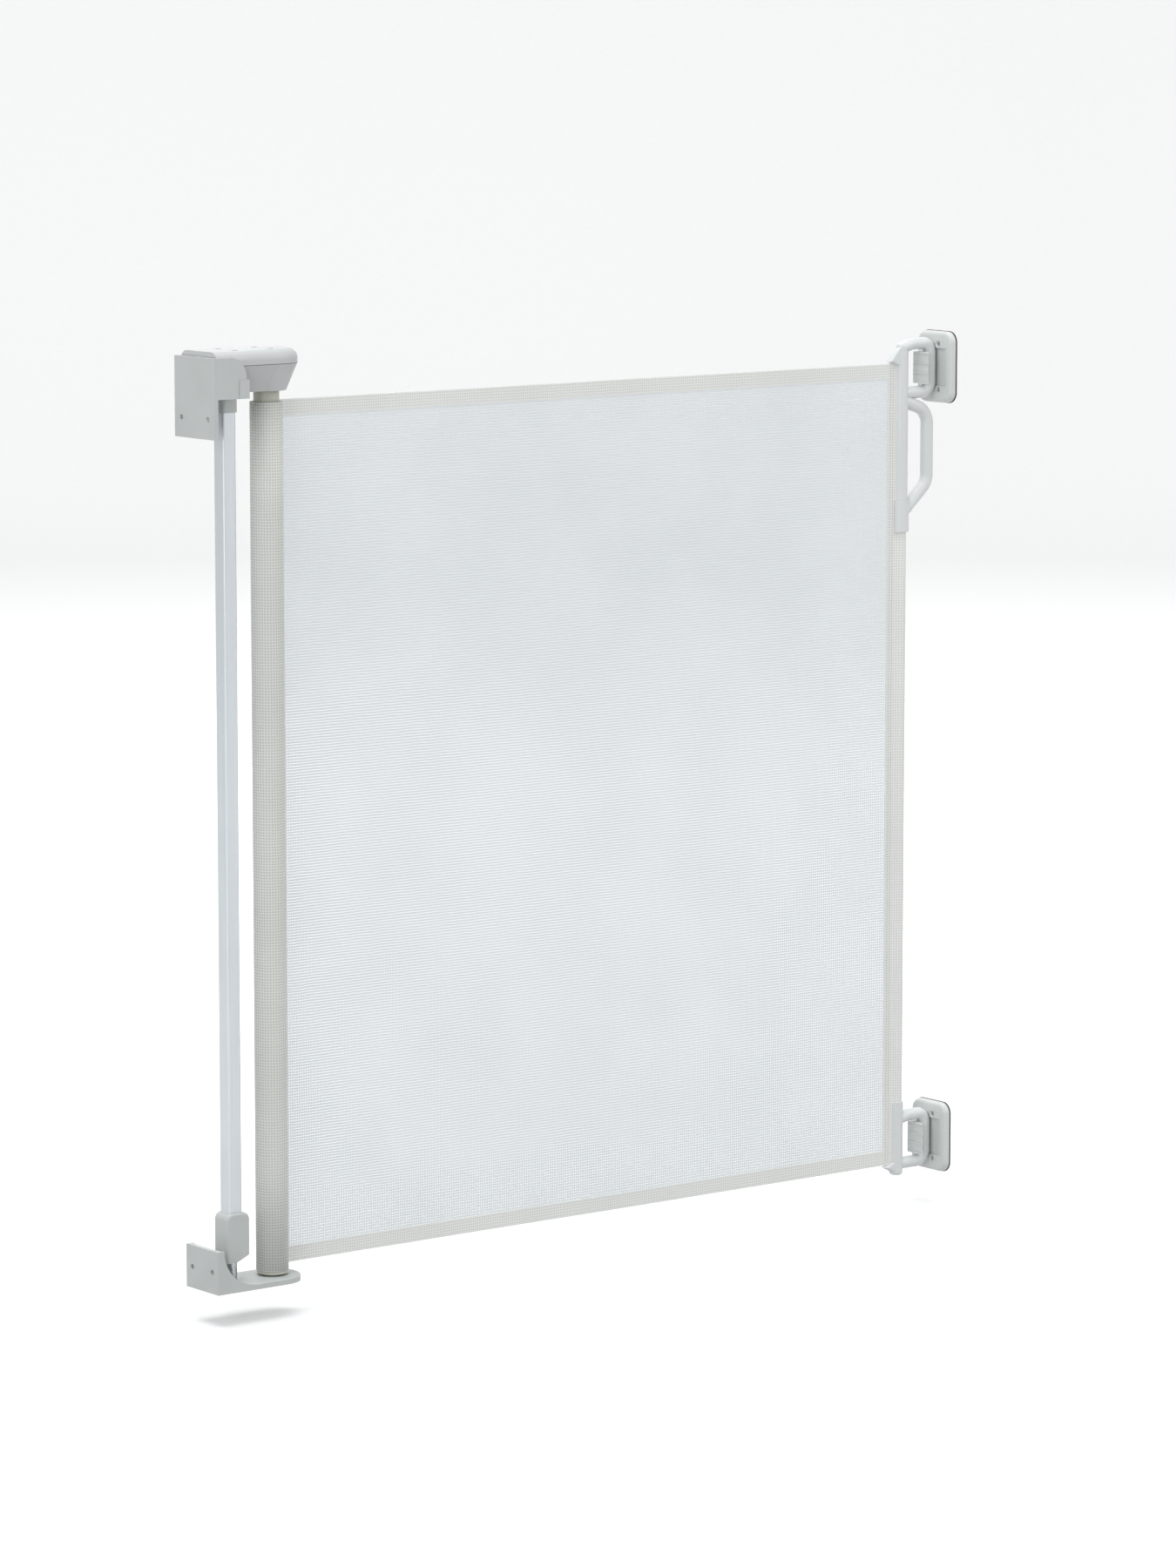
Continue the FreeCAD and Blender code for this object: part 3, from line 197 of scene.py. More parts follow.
@dataclass(frozen=True)
class MouldedPlastic:
    """Injection-moulded ABS or polypropylene from a spark-eroded mould: even, faintly grained."""

    name: str
    colour: str
    shade: str
    roughness: float = 0.42
    grain_mm: float = 0.55
    grain_depth_mm: float = 0.012
    flow_mm: float = 45.0
    # Reach of the ambient occlusion that paints shade into the creases.
    crease_shade_mm: float = 3.0
    # Near-black painted shade for screw holes and tight gaps.
    gap_shade_tone: str = "#2c2d2e"
    joint_height: float | None = None
    joint_mm: float = 0.9
    joint_tone: str = "#4b4d4e"

    def material(self) -> bpy.types.Material:
        """Build the finish.

        Returns:
            The material: mould grain, slow flow marks, painted shade in the creases, and the dark
                line
            where two shells meet at joint_height.
        """
        g = Graph.new(self.name)
        place = g.add("TexCoord").outputs["Object"]
        grain = g.add(
            "TexNoise", Vector=place, Scale=1 / (self.grain_mm * MM), Detail=3.0, Roughness=0.6)
        flow = g.add("TexNoise", Vector=place, Scale=1 / (self.flow_mm * MM), Detail=2.0)
        # Creases are painted a little darker, towards the shade colour, as shade found by ambient
        # occlusion.
        shade_occlusion = g.add("AmbientOcclusion", {"samples": 8}, Distance=self.crease_shade_mm * MM)
        crease_shade = g.ramp(shade_occlusion.outputs["AO"], 0.35, 0.95, 0.75, 0.0)
        colour, shade = linear(self.colour), linear(self.shade)
        body = g.blend(g.ramp(flow.outputs["Fac"], 0.3, 0.7, 0.0, 0.16), colour, shade)
        tone = g.blend(crease_shade, body, shade)
        # Screw holes and tight gaps swallow the light, so they are painted near black as shade.
        gap = g.ramp(shade_occlusion.outputs["AO"], 0.06, 0.28, 0.85, 0.0)
        tone = g.blend(gap, tone, linear(self.gap_shade_tone))
        if self.joint_height is not None:
            # Two shells never close quite tight, so their joint is a thin line of shadow.
            height = g.add("SeparateXYZ", Vector=place).outputs[2]
            away = g.math("ABSOLUTE", g.math("SUBTRACT", height, self.joint_height))
            half = self.joint_mm * MM / 2
            line = g.ramp(away, 0.6 * half, half, 0.8, 0.0)
            tone = g.blend(line, tone, linear(self.joint_tone))
        # Flow marks leave patches that are a touch shinier.
        gloss = g.ramp(
            flow.outputs["Fac"], 0.25, 0.75, self.roughness - 0.05, self.roughness + 0.06)
        bump = g.add(
            "Bump", Strength=0.5, Distance=self.grain_depth_mm * MM, Height=grain.outputs["Fac"])
        shader = g.add(
            "BsdfPrincipled", Base_Color=tone, Roughness=gloss, Normal=bump.outputs[0], IOR=1.5)
        shader.inputs["Subsurface Weight"].default_value = 0.04
        shader.inputs["Subsurface Radius"].default_value = (0.003, 0.003, 0.003)
        return g.finish(shader.outputs[0])


@dataclass(frozen=True)
class AnodisedAluminium:
    """Extruded aluminium, satin anodised: fine die lines along its length."""

    name: str
    colour: str
    shade: str = "#aeb4b8"
    line_mm: float = 0.5
    roughness: float = 0.38

    def material(self) -> bpy.types.Material:
        """Build the finish.

        Returns:
            The material: long die lines in tone, roughness and bump.
        """
        g = Graph.new(self.name)
        place = g.add("TexCoord").outputs["Object"]
        # The die draws lines along the length, so the noise is stretched many times along Z.
        drawn = g.add("Mapping", Vector=place, Scale=(1.0, 1.0, 0.004))
        lines = g.add(
            "TexNoise", Vector=drawn.outputs[0], Scale=1 / (self.line_mm * MM), Detail=2.0)
        cloud = g.add("TexNoise", Vector=place, Scale=12.0, Detail=2.0)
        tone = g.blend(
            g.ramp(lines.outputs["Fac"], 0.3, 0.7, 0.0, 0.35),
            linear(self.colour), linear(self.shade))
        gloss = g.ramp(cloud.outputs["Fac"], 0.3, 0.7, self.roughness - 0.05, self.roughness + 0.08)
        bump = g.add("Bump", Strength=0.3, Distance=0.01 * MM, Height=lines.outputs["Fac"])
        shader = g.add(
            "BsdfPrincipled", Base_Color=tone, Roughness=gloss, Normal=bump.outputs[0],
            Metallic=0.85)
        return g.finish(shader.outputs[0])


@dataclass(frozen=True)
class ZincSteel:
    """Cold-headed steel with bright zinc plating: patchy sheen and turning marks."""

    name: str
    colour: str = "#b9bcbe"
    shade: str = "#8f9395"
    patch_mm: float = 1.6

    def material(self) -> bpy.types.Material:
        """Build the finish.

        Returns:
            The material.
        """
        g = Graph.new(self.name)
        place = g.add("TexCoord").outputs["Object"]
        patch = g.add("TexNoise", Vector=place, Scale=1 / (self.patch_mm * MM), Detail=4.0)
        tone = g.blend(
            g.ramp(patch.outputs["Fac"], 0.35, 0.65, 0.0, 1.0),
            linear(self.colour), linear(self.shade))
        gloss = g.ramp(patch.outputs["Fac"], 0.3, 0.7, 0.24, 0.42)
        bump = g.add("Bump", Strength=0.25, Distance=0.02 * MM, Height=patch.outputs["Fac"])
        shader = g.add(
            "BsdfPrincipled", Base_Color=tone, Roughness=gloss, Normal=bump.outputs[0],
            Metallic=1.0)
        return g.finish(shader.outputs[0])


@dataclass(frozen=True)
class CellularRubber:
    """Die-cut EVA foam sheet: dull black with closed cells cut open at the edge."""

    name: str
    colour: str = "#141516"
    worn: str = "#26282a"
    cell_mm: float = 0.5

    def material(self) -> bpy.types.Material:
        """Build the finish.

        Returns:
            The material.
        """
        g = Graph.new(self.name)
        place = g.add("TexCoord").outputs["Object"]
        cells = g.add("TexVoronoi", Vector=place, Scale=1 / (self.cell_mm * MM))
        depth = g.ramp(cells.outputs["Distance"], 0.0, 0.6, 1.0, 0.0)
        tone = g.blend(depth, linear(self.colour), linear(self.worn))
        gloss = g.ramp(cells.outputs["Distance"], 0.0, 0.7, 0.7, 0.9)
        bump = g.add("Bump", Strength=0.5, Distance=0.06 * MM, Height=cells.outputs["Distance"])
        shader = g.add("BsdfPrincipled", Base_Color=tone, Roughness=gloss, Normal=bump.outputs[0])
        return g.finish(shader.outputs[0])


class Weave(Enum):
    """How a stretch of the mesh is laid."""

    OPEN = "single layer, daylight through the holes"
    # Holes of folded and wound cloth are painted darker, as the shade of the layers behind them.
    FOLDED = "two layers, holes half closed"
    WOUND = "many layers, holes dark"


@dataclass(frozen=True)
class CoatedMesh:
    """PVC-coated polyester yarn in a plain weave, welded at the crossings.

    The coat rounds the yarn and gives it a soft sheen. The real pitch is about 2.3 mm; it is
    drawn a little coarser so that it shows.
    """

    name: str
    weave: Weave
    yarn: str
    # Painted shade colour: for the weave's hollows, and for holes that lie over more cloth.
    hole: str
    pitch_mm: float = 2.6
    cover: float = 0.64
    yarn_depth_mm: float = 0.22
    wander_share: float = 0.5
    crossing_lift: float = 0.22
    yarn_level: float = 0.78
    hole_softness: float = 0.10
    glow_share: float = 0.35

    def material(self) -> bpy.types.Material:
        """Build the finish on the piece's own map, which is in metres along and up the cloth.

        Returns:
            The material: crossing yarns in bump and tone, and holes by kind of weave: see-through
                when open, painted shade when folded or wound.
        """
        g = Graph.new(self.name)
        place = g.add("UVMap").outputs[0]
        wander = g.add("TexNoise", Vector=place, Scale=60.0, Detail=2.0)
        along = g.add("SeparateXYZ", Vector=place)
        drift = g.math(
            "MULTIPLY", g.math("SUBTRACT", wander.outputs["Fac"], 0.5),
            self.wander_share * self.pitch_mm * MM)
        turns = math.pi / (self.pitch_mm * MM)
        warp = g.math("SINE", g.math("MULTIPLY", g.math("ADD", along.outputs[0], drift), turns))
        weft = g.math("SINE", g.math("MULTIPLY", g.math("ADD", along.outputs[1], drift), turns))
        warp_body = g.math("ABSOLUTE", warp)
        weft_body = g.math("ABSOLUTE", weft)
        # The sign of the product changes from crossing to crossing: over, then under.
        over = g.math("MULTIPLY", g.math("MULTIPLY", warp, weft), self.crossing_lift)
        warp_top = g.math("MULTIPLY", warp_body, g.math("ADD", self.yarn_level, over))
        weft_top = g.math("MULTIPLY", weft_body, g.math("SUBTRACT", self.yarn_level, over))
        height = g.math("MAXIMUM", warp_top, weft_top)
        edge = math.sin(math.pi / 2 * (1 - self.cover))
        bare = g.math("MAXIMUM", warp_body, weft_body)
        hole = g.ramp(bare, edge - self.hole_softness, edge + self.hole_softness, 1.0, 0.0)
        slub = g.add("TexNoise", Vector=place, Scale=9.0, Detail=4.0)
        yarn = g.blend(
            g.ramp(slub.outputs["Fac"], 0.3, 0.7, 0.0, 0.18), linear(self.yarn), linear(self.hole))
        # Low stretches of yarn between crossings are painted towards the hole colour, as shade in
        # the weave's hollows.
        shaded = g.blend(g.ramp(height, 0.45, 0.9, 0.55, 0.0), yarn, linear(self.hole))
        bump = g.add("Bump", Strength=0.8, Distance=self.yarn_depth_mm * MM, Height=height)
        gloss = g.ramp(height, 0.4, 1.0, 0.62, 0.46)
        if self.weave is Weave.OPEN:
            tone = shaded
        else:
            # Holes in folded and wound cloth are painted in the hole colour, as the shade of the
            # layers behind them.
            tone = g.blend(g.math("MULTIPLY", hole, 0.8), shaded, linear(self.hole))
        solid = g.add(
            "BsdfPrincipled", Base_Color=tone, Roughness=gloss, Normal=bump.outputs[0], IOR=1.5)
        if self.weave is not Weave.OPEN:
            return g.finish(solid.outputs[0])
        glow = g.add("BsdfTranslucent", Color=tone, Normal=bump.outputs[0])
        cloth = g.add("MixShader", in0=self.glow_share, in1=solid.outputs[0], in2=glow.outputs[0])
        clear = g.add("BsdfTransparent")
        mix = g.add("MixShader", in0=hole, in1=cloth.outputs[0], in2=clear.outputs[0])
        return g.finish(mix.outputs[0])


@dataclass(frozen=True)
class SewingThread:
    """Bonded polyester thread, two plies twisted: a fine rope with a low sheen."""

    name: str
    colour: str
    shade: str = "#a9aaa6"
    ply_mm: float = 0.9

    def material(self) -> bpy.types.Material:
        """Build the finish.

        Returns:
            The material.
        """
        g = Graph.new(self.name)
        place = g.add("TexCoord").outputs["Object"]
        twist = g.add(
            "TexWave", {"wave_type": "BANDS", "bands_direction": "DIAGONAL"},
            Vector=place, Scale=0.3 / (self.ply_mm * MM), Distortion=0.5)
        tone = g.blend(
            g.ramp(twist.outputs["Fac"], 0.2, 0.8, 0.0, 0.4),
            linear(self.colour), linear(self.shade))
        gloss = g.ramp(twist.outputs["Fac"], 0.0, 1.0, 0.5, 0.65)
        bump = g.add("Bump", Strength=0.5, Distance=0.1 * MM, Height=twist.outputs["Fac"])
        shader = g.add("BsdfPrincipled", Base_Color=tone, Roughness=gloss, Normal=bump.outputs[0])
        shader.inputs["Sheen Weight"].default_value = 0.2
        return g.finish(shader.outputs[0])


@dataclass(frozen=True)
class StudioPaper:
    """Seamless white background paper, faintly fibrous."""

    name: str
    colour: str
    fibre: str = "#f4f4f3"

    def material(self) -> bpy.types.Material:
        """Build the finish.

        Returns:
            The material.
        """
        g = Graph.new(self.name)
        place = g.add("TexCoord").outputs["Object"]
        fibre = g.add("TexNoise", Vector=place, Scale=90.0, Detail=5.0)
        tone = g.blend(
            g.ramp(fibre.outputs["Fac"], 0.3, 0.7, 0.0, 0.1),
            linear(self.colour), linear(self.fibre))
        bump = g.add("Bump", Strength=0.1, Distance=0.1 * MM, Height=fibre.outputs["Fac"])
        shader = g.add("BsdfPrincipled", Base_Color=tone, Roughness=0.9, Normal=bump.outputs[0])
        return g.finish(shader.outputs[0])


# --- mesh helpers --------------------------------------------------------------------------------


def new_object(name: str, bm: bmesh.types.BMesh, smooth: bool = True) -> bpy.types.Object:
    """Turn a bmesh into an object in the scene.

    Args:
        name: the object's name.
        bm: the finished bmesh, which is freed.
        smooth: whether its faces are shaded smooth.

    Returns:
        The new object.
    """
    data = bpy.data.meshes.new(name)
    for face in bm.faces:
        face.smooth = smooth
    bm.to_mesh(data)
    bm.free()
    piece = bpy.data.objects.new(name, data)
    bpy.context.scene.collection.objects.link(piece)
    return piece


def grid_sheet(
    name: str,
    across: Sequence[float],
    upward: Sequence[float],
    place: Callable[[float, float], Point],
    closed: bool = False,
) -> bpy.types.Object:
    """Make a sheet of quads whose map is in metres along and up the cloth.

    Args:
        name: the object's name.
        across: distances along the cloth.
        upward: heights.
        place: where a point of the cloth, given by distance and height, lies.
        closed: whether the last column joins the first.

    Returns:
        The new object.
    """
    bm = bmesh.new()
    layer = bm.loops.layers.uv.new("cloth")
    columns = across[:-1] if closed else across
    rows = [[bm.verts.new(place(s, z)) for s in columns] for z in upward]
    for j in range(len(upward) - 1):
        for i in range(len(across) - 1):
            k = (i + 1) % len(columns)
            face = bm.faces.new((rows[j][i], rows[j][k], rows[j + 1][k], rows[j + 1][i]))
            corners = ((i, j), (i + 1, j), (i + 1, j + 1), (i, j + 1))
            for corner, (a, b) in zip(face.loops, corners):
                corner[layer].uv = (across[a], upward[b])
    return new_object(name, bm)


def girths(outline: Sequence[tuple[float, float]]) -> list[float]:
    """Add up the distances round a closed outline.

    Args:
        outline: its points in order.

    Returns:
        The distance to each point, and last the whole way round.
    """
    reach = [0.0]
    for (a0, b0), (a1, b1) in zip(outline, [*outline[1:], outline[0]]):
        reach.append(reach[-1] + math.hypot(a1 - a0, b1 - b0))
    return reach


def skin(
    name: str,
    rings: Sequence[Sequence[Point]],
    mapped: Callable[[int, int], tuple[float, float]],
) -> bpy.types.Object:
    """Make a closed band of cloth through a row of rings, with both ends capped.

    Args:
        name: the object's name.
        rings: the rings' points.
        mapped: the map's place for a ring and a point by number; the point after the last one
            is the first one again.

    Returns:
        The new object.
    """
    bm = bmesh.new()
    layer = bm.loops.layers.uv.new("cloth")
    loops = [[bm.verts.new(point) for point in ring] for ring in rings]
    count = len(loops[0])
    for i in range(len(loops) - 1):
        for k in range(count):
            n = (k + 1) % count
            face = bm.faces.new((loops[i][k], loops[i + 1][k], loops[i + 1][n], loops[i][n]))
            corners = ((i, k), (i + 1, k), (i + 1, k + 1), (i, k + 1))
            for corner, (ring, point) in zip(face.loops, corners):
                corner[layer].uv = mapped(ring, point)
    bm.faces.new(loops[0])
    bm.faces.new(loops[-1][::-1])
    bmesh.ops.recalc_face_normals(bm, faces=bm.faces)
    return creased(new_object(name, bm))


def spread(low: float, high: float, steps: int) -> list[float]:
    """Evenly spaced values from low to high, both ends included."""
    return [low + (high - low) * i / steps for i in range(steps + 1)]


def stitch_row(name: str, start: Point, end: Point, pitch: float, side: Point) -> bpy.types.Object:
    """Make a row of sewn stitches as small round-ended beads.

    Args:
        name: the object's name.
        start: where the row begins.
        end: where it ends.
        pitch: the distance from one stitch to the next.
        side: the direction in which the stitches stand proud, of unit length.

    Returns:
        The row as one object.
    """
    a, b, out = Vector(start), Vector(end), Vector(side)
    along = (b - a).normalized()
    flat = along.cross(out)
    count = int((b - a).length / pitch)
    radius = THREAD_RADIUS
    bm = bmesh.new()
    ring = [(math.cos(math.tau * k / 6), math.sin(math.tau * k / 6)) for k in range(6)]
    for number in range(count):
        centre = a + along * (pitch * (number + 0.5))
        rings = []
        for reach, share in ((-0.40, 0.35), (-0.25, 1.0), (0.25, 1.0), (0.40, 0.35)):
            sink = -0.35 * radius if abs(reach) > 0.3 else 0.0
            middle = centre + along * (reach * pitch) + out * sink
            rings.append([
                bm.verts.new(middle + (flat * c + out * s) * radius * share) for c, s in ring])
        for first, second in zip(rings, rings[1:]):
            for k in range(6):
                bm.faces.new((first[k], first[(k + 1) % 6], second[(k + 1) % 6], second[k]))
        bm.faces.new(rings[0][::-1])
        bm.faces.new(rings[-1])
    bm.normal_update()
    return new_object(name, bm)


def creased(piece: bpy.types.Object, angle_deg: float = 35.0) -> bpy.types.Object:
    """Mark the sharp edges of a smooth piece, so that flat cloth stays flat up to its edge.

    Args:
        piece: the piece to mark.
        angle_deg: the least angle between two faces that counts as sharp.

    Returns:
        The same piece.
    """
    bm = bmesh.new()
    bm.from_mesh(piece.data)
    for edge in bm.edges:
        if len(edge.link_faces) == 2 and edge.calc_face_angle(0.0) > math.radians(angle_deg):
            edge.smooth = False
    bm.to_mesh(piece.data)
    bm.free()
    return piece


def dress(piece: bpy.types.Object, material: bpy.types.Material) -> None:
    """Give a piece or a CAD node one material."""
    piece.data.materials.clear()
    piece.data.materials.append(material)


def report(pieces: Iterable[bpy.types.Object]) -> None:
    """Log the name and vertex count of each piece."""
    for piece in pieces:
        LOG.info("%s: %d vertices", piece.name, len(piece.data.vertices))


# --- sub-assemblies ------------------------------------------------------------------------------


@dataclass
class Palette:
    """Every finish of the gate, built once."""

    housing: bpy.types.Material = field(init=False)
    bracket: bpy.types.Material = field(init=False)
    latch: bpy.types.Material = field(init=False)
    catch: bpy.types.Material = field(init=False)
    neck: bpy.types.Material = field(init=False)
    bearing: bpy.types.Material = field(init=False)
    rail: bpy.types.Material = field(init=False)
    steel: bpy.types.Material = field(init=False)
    pad: bpy.types.Material = field(init=False)
    open_mesh: bpy.types.Material = field(init=False)
    folded_mesh: bpy.types.Material = field(init=False)
    wound_mesh: bpy.types.Material = field(init=False)
    thread: bpy.types.Material = field(init=False)

    def __post_init__(self) -> None:
        """Build the materials."""
        self.housing = MouldedPlastic(
            "abs_moulded_housing", "#c4c6c6", "#b0b2b2",
            joint_height=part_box("housing_body")[1][2]).material()
        self.bracket = MouldedPlastic(
            "polyamide_moulded_bracket", "#c1c5c4", "#abb0ae", roughness=0.48).material()
        self.latch = MouldedPlastic(
            "acetal_moulded_latch", "#dfe2e2", "#c8cccc", roughness=0.34, grain_mm=0.8).material()
        self.catch = MouldedPlastic(
            "acetal_moulded_catch", "#d7dbd9", "#bac0bc", roughness=0.36, grain_mm=0.8).material()
        self.neck = MouldedPlastic(
            "polyamide_moulded_neck", "#bfc0b4", "#a5a698", roughness=0.4).material()
        self.bearing = MouldedPlastic("acetal_moulded_bearing", "#e6e6e0", "#c8c8c0").material()
        self.rail = AnodisedAluminium("aluminium_anodised_rail", "#c3c8cb").material()
        self.steel = ZincSteel("steel_zinc_plated").material()
        self.pad = CellularRubber("eva_foam_pad").material()
        # The second colour of each mesh is painted shade: for its hollows, and for the holes of
        # folded and wound cloth.
        self.open_mesh = CoatedMesh("pvc_mesh_open", Weave.OPEN, "#e4e8ea", "#c3c9cd").material()
        self.folded_mesh = CoatedMesh(
            "pvc_mesh_folded", Weave.FOLDED, "#f3f4f1", "#d3d5d2").material()
        self.wound_mesh = CoatedMesh(
            "pvc_mesh_wound", Weave.WOUND, "#e4e6e1", "#b0b2ac").material()
        self.thread = SewingThread("polyester_sewing_thread", "#d2d2cb").material()


@dataclass
class WallUnit:
    """Housing, brackets, rail and everything inside the roller that keeps its CAD shape."""

    palette: Palette

    def dress(self) -> None:
        """Give each CAD node of the unit its finish."""
        p = self.palette
        finishes = {
            p.housing: ("housing_body", "housing_lid", "lock_button"),
            p.bracket: ("top_wall_bracket", "foot_bracket", "rail_top_socket", "rail_bottom_cap"),
            p.neck: (
                "roller_top_plug", "roller_bottom_plug", "spring_drive_plug",
                "mesh_retaining_strip"),
            p.bearing: ("foot_bush", "top_bush", "lock_wheel", "lock_bolt"),
            p.rail: ("guide_rail", "roller_tube", "latch_bar"),
            p.steel: (
                "rail_foot_pin", "lid_screws", "bar_screws", "top_spindle", "spring_mandrel",
                "torsion_spring", "lock_detent_spring"),
        }
        for material, names in finishes.items():
            for name in names:
                dress(frame["nodes"][name], material)
                LOG.info("%s keeps its CAD shape", name)


@dataclass
class LatchSide:
    """Latch mouldings and wall catches."""

    palette: Palette

    def dress(self) -> None:
        """Give each CAD node of the latch side its finish."""
        p = self.palette
        finishes = {
            p.latch: ("top_latch_moulding", "bottom_latch_moulding"),
            p.catch: ("catch_top", "catch_bottom"),
            p.pad: ("catch_pad_top", "catch_pad_bottom"),
        }
        for material, names in finishes.items():
            for name in names:
                dress(frame["nodes"][name], material)
                LOG.info("%s keeps its CAD shape", name)


@dataclass
class MeshRoll:
    """The mesh wound on the tube, as one spiral whose end runs off into the panel."""

    palette: Palette
    layer: float = 0.8 * MM
    cloth_share: float = 0.7
    gap: float = 0.1 * MM
    columns_per_turn: int = 72
    rows: int = 8

    def build(self) -> bpy.types.Object:
        """Make the spiral.

        Returns:
            The wound mesh.
        """
        low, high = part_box("mesh_roll")
        axis_x = (low.x + high.x) / 2
        outer = (high.x - low.x) / 2 + self.gap
        tube_low, tube_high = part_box("roller_tube")
        inner = (tube_high.x - tube_low.x) / 2 + self.gap
        turns = (outer - inner) / self.layer
        steps = int(turns * self.columns_per_turn)

        def radius(share: float) -> float:
            """Distance from the axis at a share of the way along the spiral."""
            return inner + (outer - inner) * share

        length = [0.0]
        for i in range(steps):
            step_angle = math.tau * turns / steps
            length.append(length[-1] + radius((i + 0.5) / steps) * step_angle)
        share_at = {s: i / steps for i, s in enumerate(length)}

        def place(s: float, z: float) -> Point:
            """Find where a point of the wound cloth lies.

            Args:
                s: its distance along the cloth.
                z: its height.

            Returns:
                Its place.
            """
            share = share_at[s]
            angle = math.pi / 2 + math.tau * turns * (1 - share)
            r = radius(share)
            return (axis_x + r * math.cos(angle), r * math.sin(angle), z)

        roll = grid_sheet("wound_mesh", length, spread(low.z, high.z, self.rows), place)
        LOG.info("wound mesh: %.0f mm of cloth in %.1f turns", length[-1] / MM, turns)
        return roll

    def dress(self, roll: bpy.types.Object) -> None:
        """Give the roll its weave and let it turn with the roller.

        Args:
            roll: what build returned.
        """
        thick = roll.modifiers.new("cloth_thickness", "SOLIDIFY")
        thick.thickness = self.cloth_share * self.layer
        thick.offset = 0.0
        dress(roll, self.palette.wound_mesh)
        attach(roll, "roller")
        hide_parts("mesh_roll")


@dataclass
class MeshPanel:
    """The stretched mesh with its hems, from the roll to the latch bar."""

    palette: Palette
    hem_height: float = 15.0 * MM
    hem_thickness: float = 1.2 * MM
    ripple: float = 0.7 * MM
    rippled_share: float = 0.72
    ripple_fade: float = 0.7
    # Height of each ripple, its turns across and up the cloth, and where it starts.
    waves: tuple[tuple[float, float, float, float], ...] = (
        (1.0, 9.0, 2.2, 0.0), (0.6, 17.0, -3.1, 1.0), (0.5, 3.0, 5.0, 0.0))
    fold_steps: int = 5
    columns: int = 96
    rows: int = 100
    left: float = field(init=False)
    right: float = field(init=False)
    bottom: float = field(init=False)
    top: float = field(init=False)
    y: float = field(init=False)

    def __post_init__(self) -> None:
        """Read the panel's place from the frame."""
        low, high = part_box("mesh_panel")
        self.left, self.right = low.x, high.x
        self.bottom, self.top = low.z, high.z
        self.y = (low.y + high.y) / 2

    def surface(self, s: float, z: float) -> float:
        """Depth of the cloth at a point: long shallow ripples that die out at the roll and the bar.

        The stretch beside the bar stays flat, because it is what lies behind the pocket's seams
        once the cloth is drawn in.

        Args:
            s: distance along the cloth from the roll.
            z: height.

        Returns:
            The point's place along Y.
        """
        width = self.right - self.left
        u = s / width
        v = (z - self.bottom) / (self.top - self.bottom)
        share = u / self.rippled_share
        hold = math.sin(math.pi * share) ** self.ripple_fade if 0 < share < 1 else 0.0
        wave = sum(a * math.sin(b * u + c * v + d) for a, b, c, d in self.waves)
        return self.y + self.ripple * hold * wave

    def build(self) -> list[bpy.types.Object]:
        """Make the cloth and its two hems.

        Returns:
            Cloth, top hem and bottom hem.
        """
        width = self.right - self.left
        across = spread(0.0, width, self.columns)
        panel = grid_sheet(
            "mesh_cloth", across, spread(self.bottom, self.top, self.rows),
            lambda s, z: (self.left + s, self.surface(s, z), z))
        hems = [self.hem("hem_top", self.top, -1), self.hem("hem_bottom", self.bottom, 1)]
        return [panel, *hems]

    def hem(self, name: str, edge: float, inward: int) -> bpy.types.Object:
        """Make one hem: the cloth's edge folded over to the back and sewn down.

        Args:
            name: the object's name.
            edge: height of the folded edge.
            inward: +1 if the cloth lies above the edge, and -1 if it lies below.

        Returns:
            The hem, a flat band that wraps the cloth's edge.
        """
        half = self.hem_thickness / 2
        outline = [(self.hem_height, half), (2 * half, half)]
        for k in range(self.fold_steps + 1):
            angle = math.pi / 2 + math.pi * k / self.fold_steps
            outline.append((half + half * math.cos(angle), half * math.sin(angle)))
        outline += [(2 * half, -half), (self.hem_height, -half)]
        across = spread(0.0, self.right - self.left, self.columns)
        reach = girths(outline)
        rings = [
            [(self.left + s, self.surface(s, edge + inward * up) - depth, edge + inward * up)
             for up, depth in outline]
            for s in across]
        return skin(name, rings, lambda i, k: (across[i], edge + inward * reach[k]))

    def dress(self, pieces: Sequence[bpy.types.Object], travel: float) -> None:
        """Give the cloth and its hems their weave and attach them to the panel.

        Args:
            pieces: what build returned.
            travel: how far the bar retracts; not used.
        """
        p = self.palette
        panel, top, bottom = pieces
        finishes = ((panel, p.open_mesh), (top, p.folded_mesh), (bottom, p.folded_mesh))
        for piece, material in finishes:
            dress(piece, material)
            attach(piece, "panel")
            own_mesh(piece)
        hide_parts("mesh_panel")


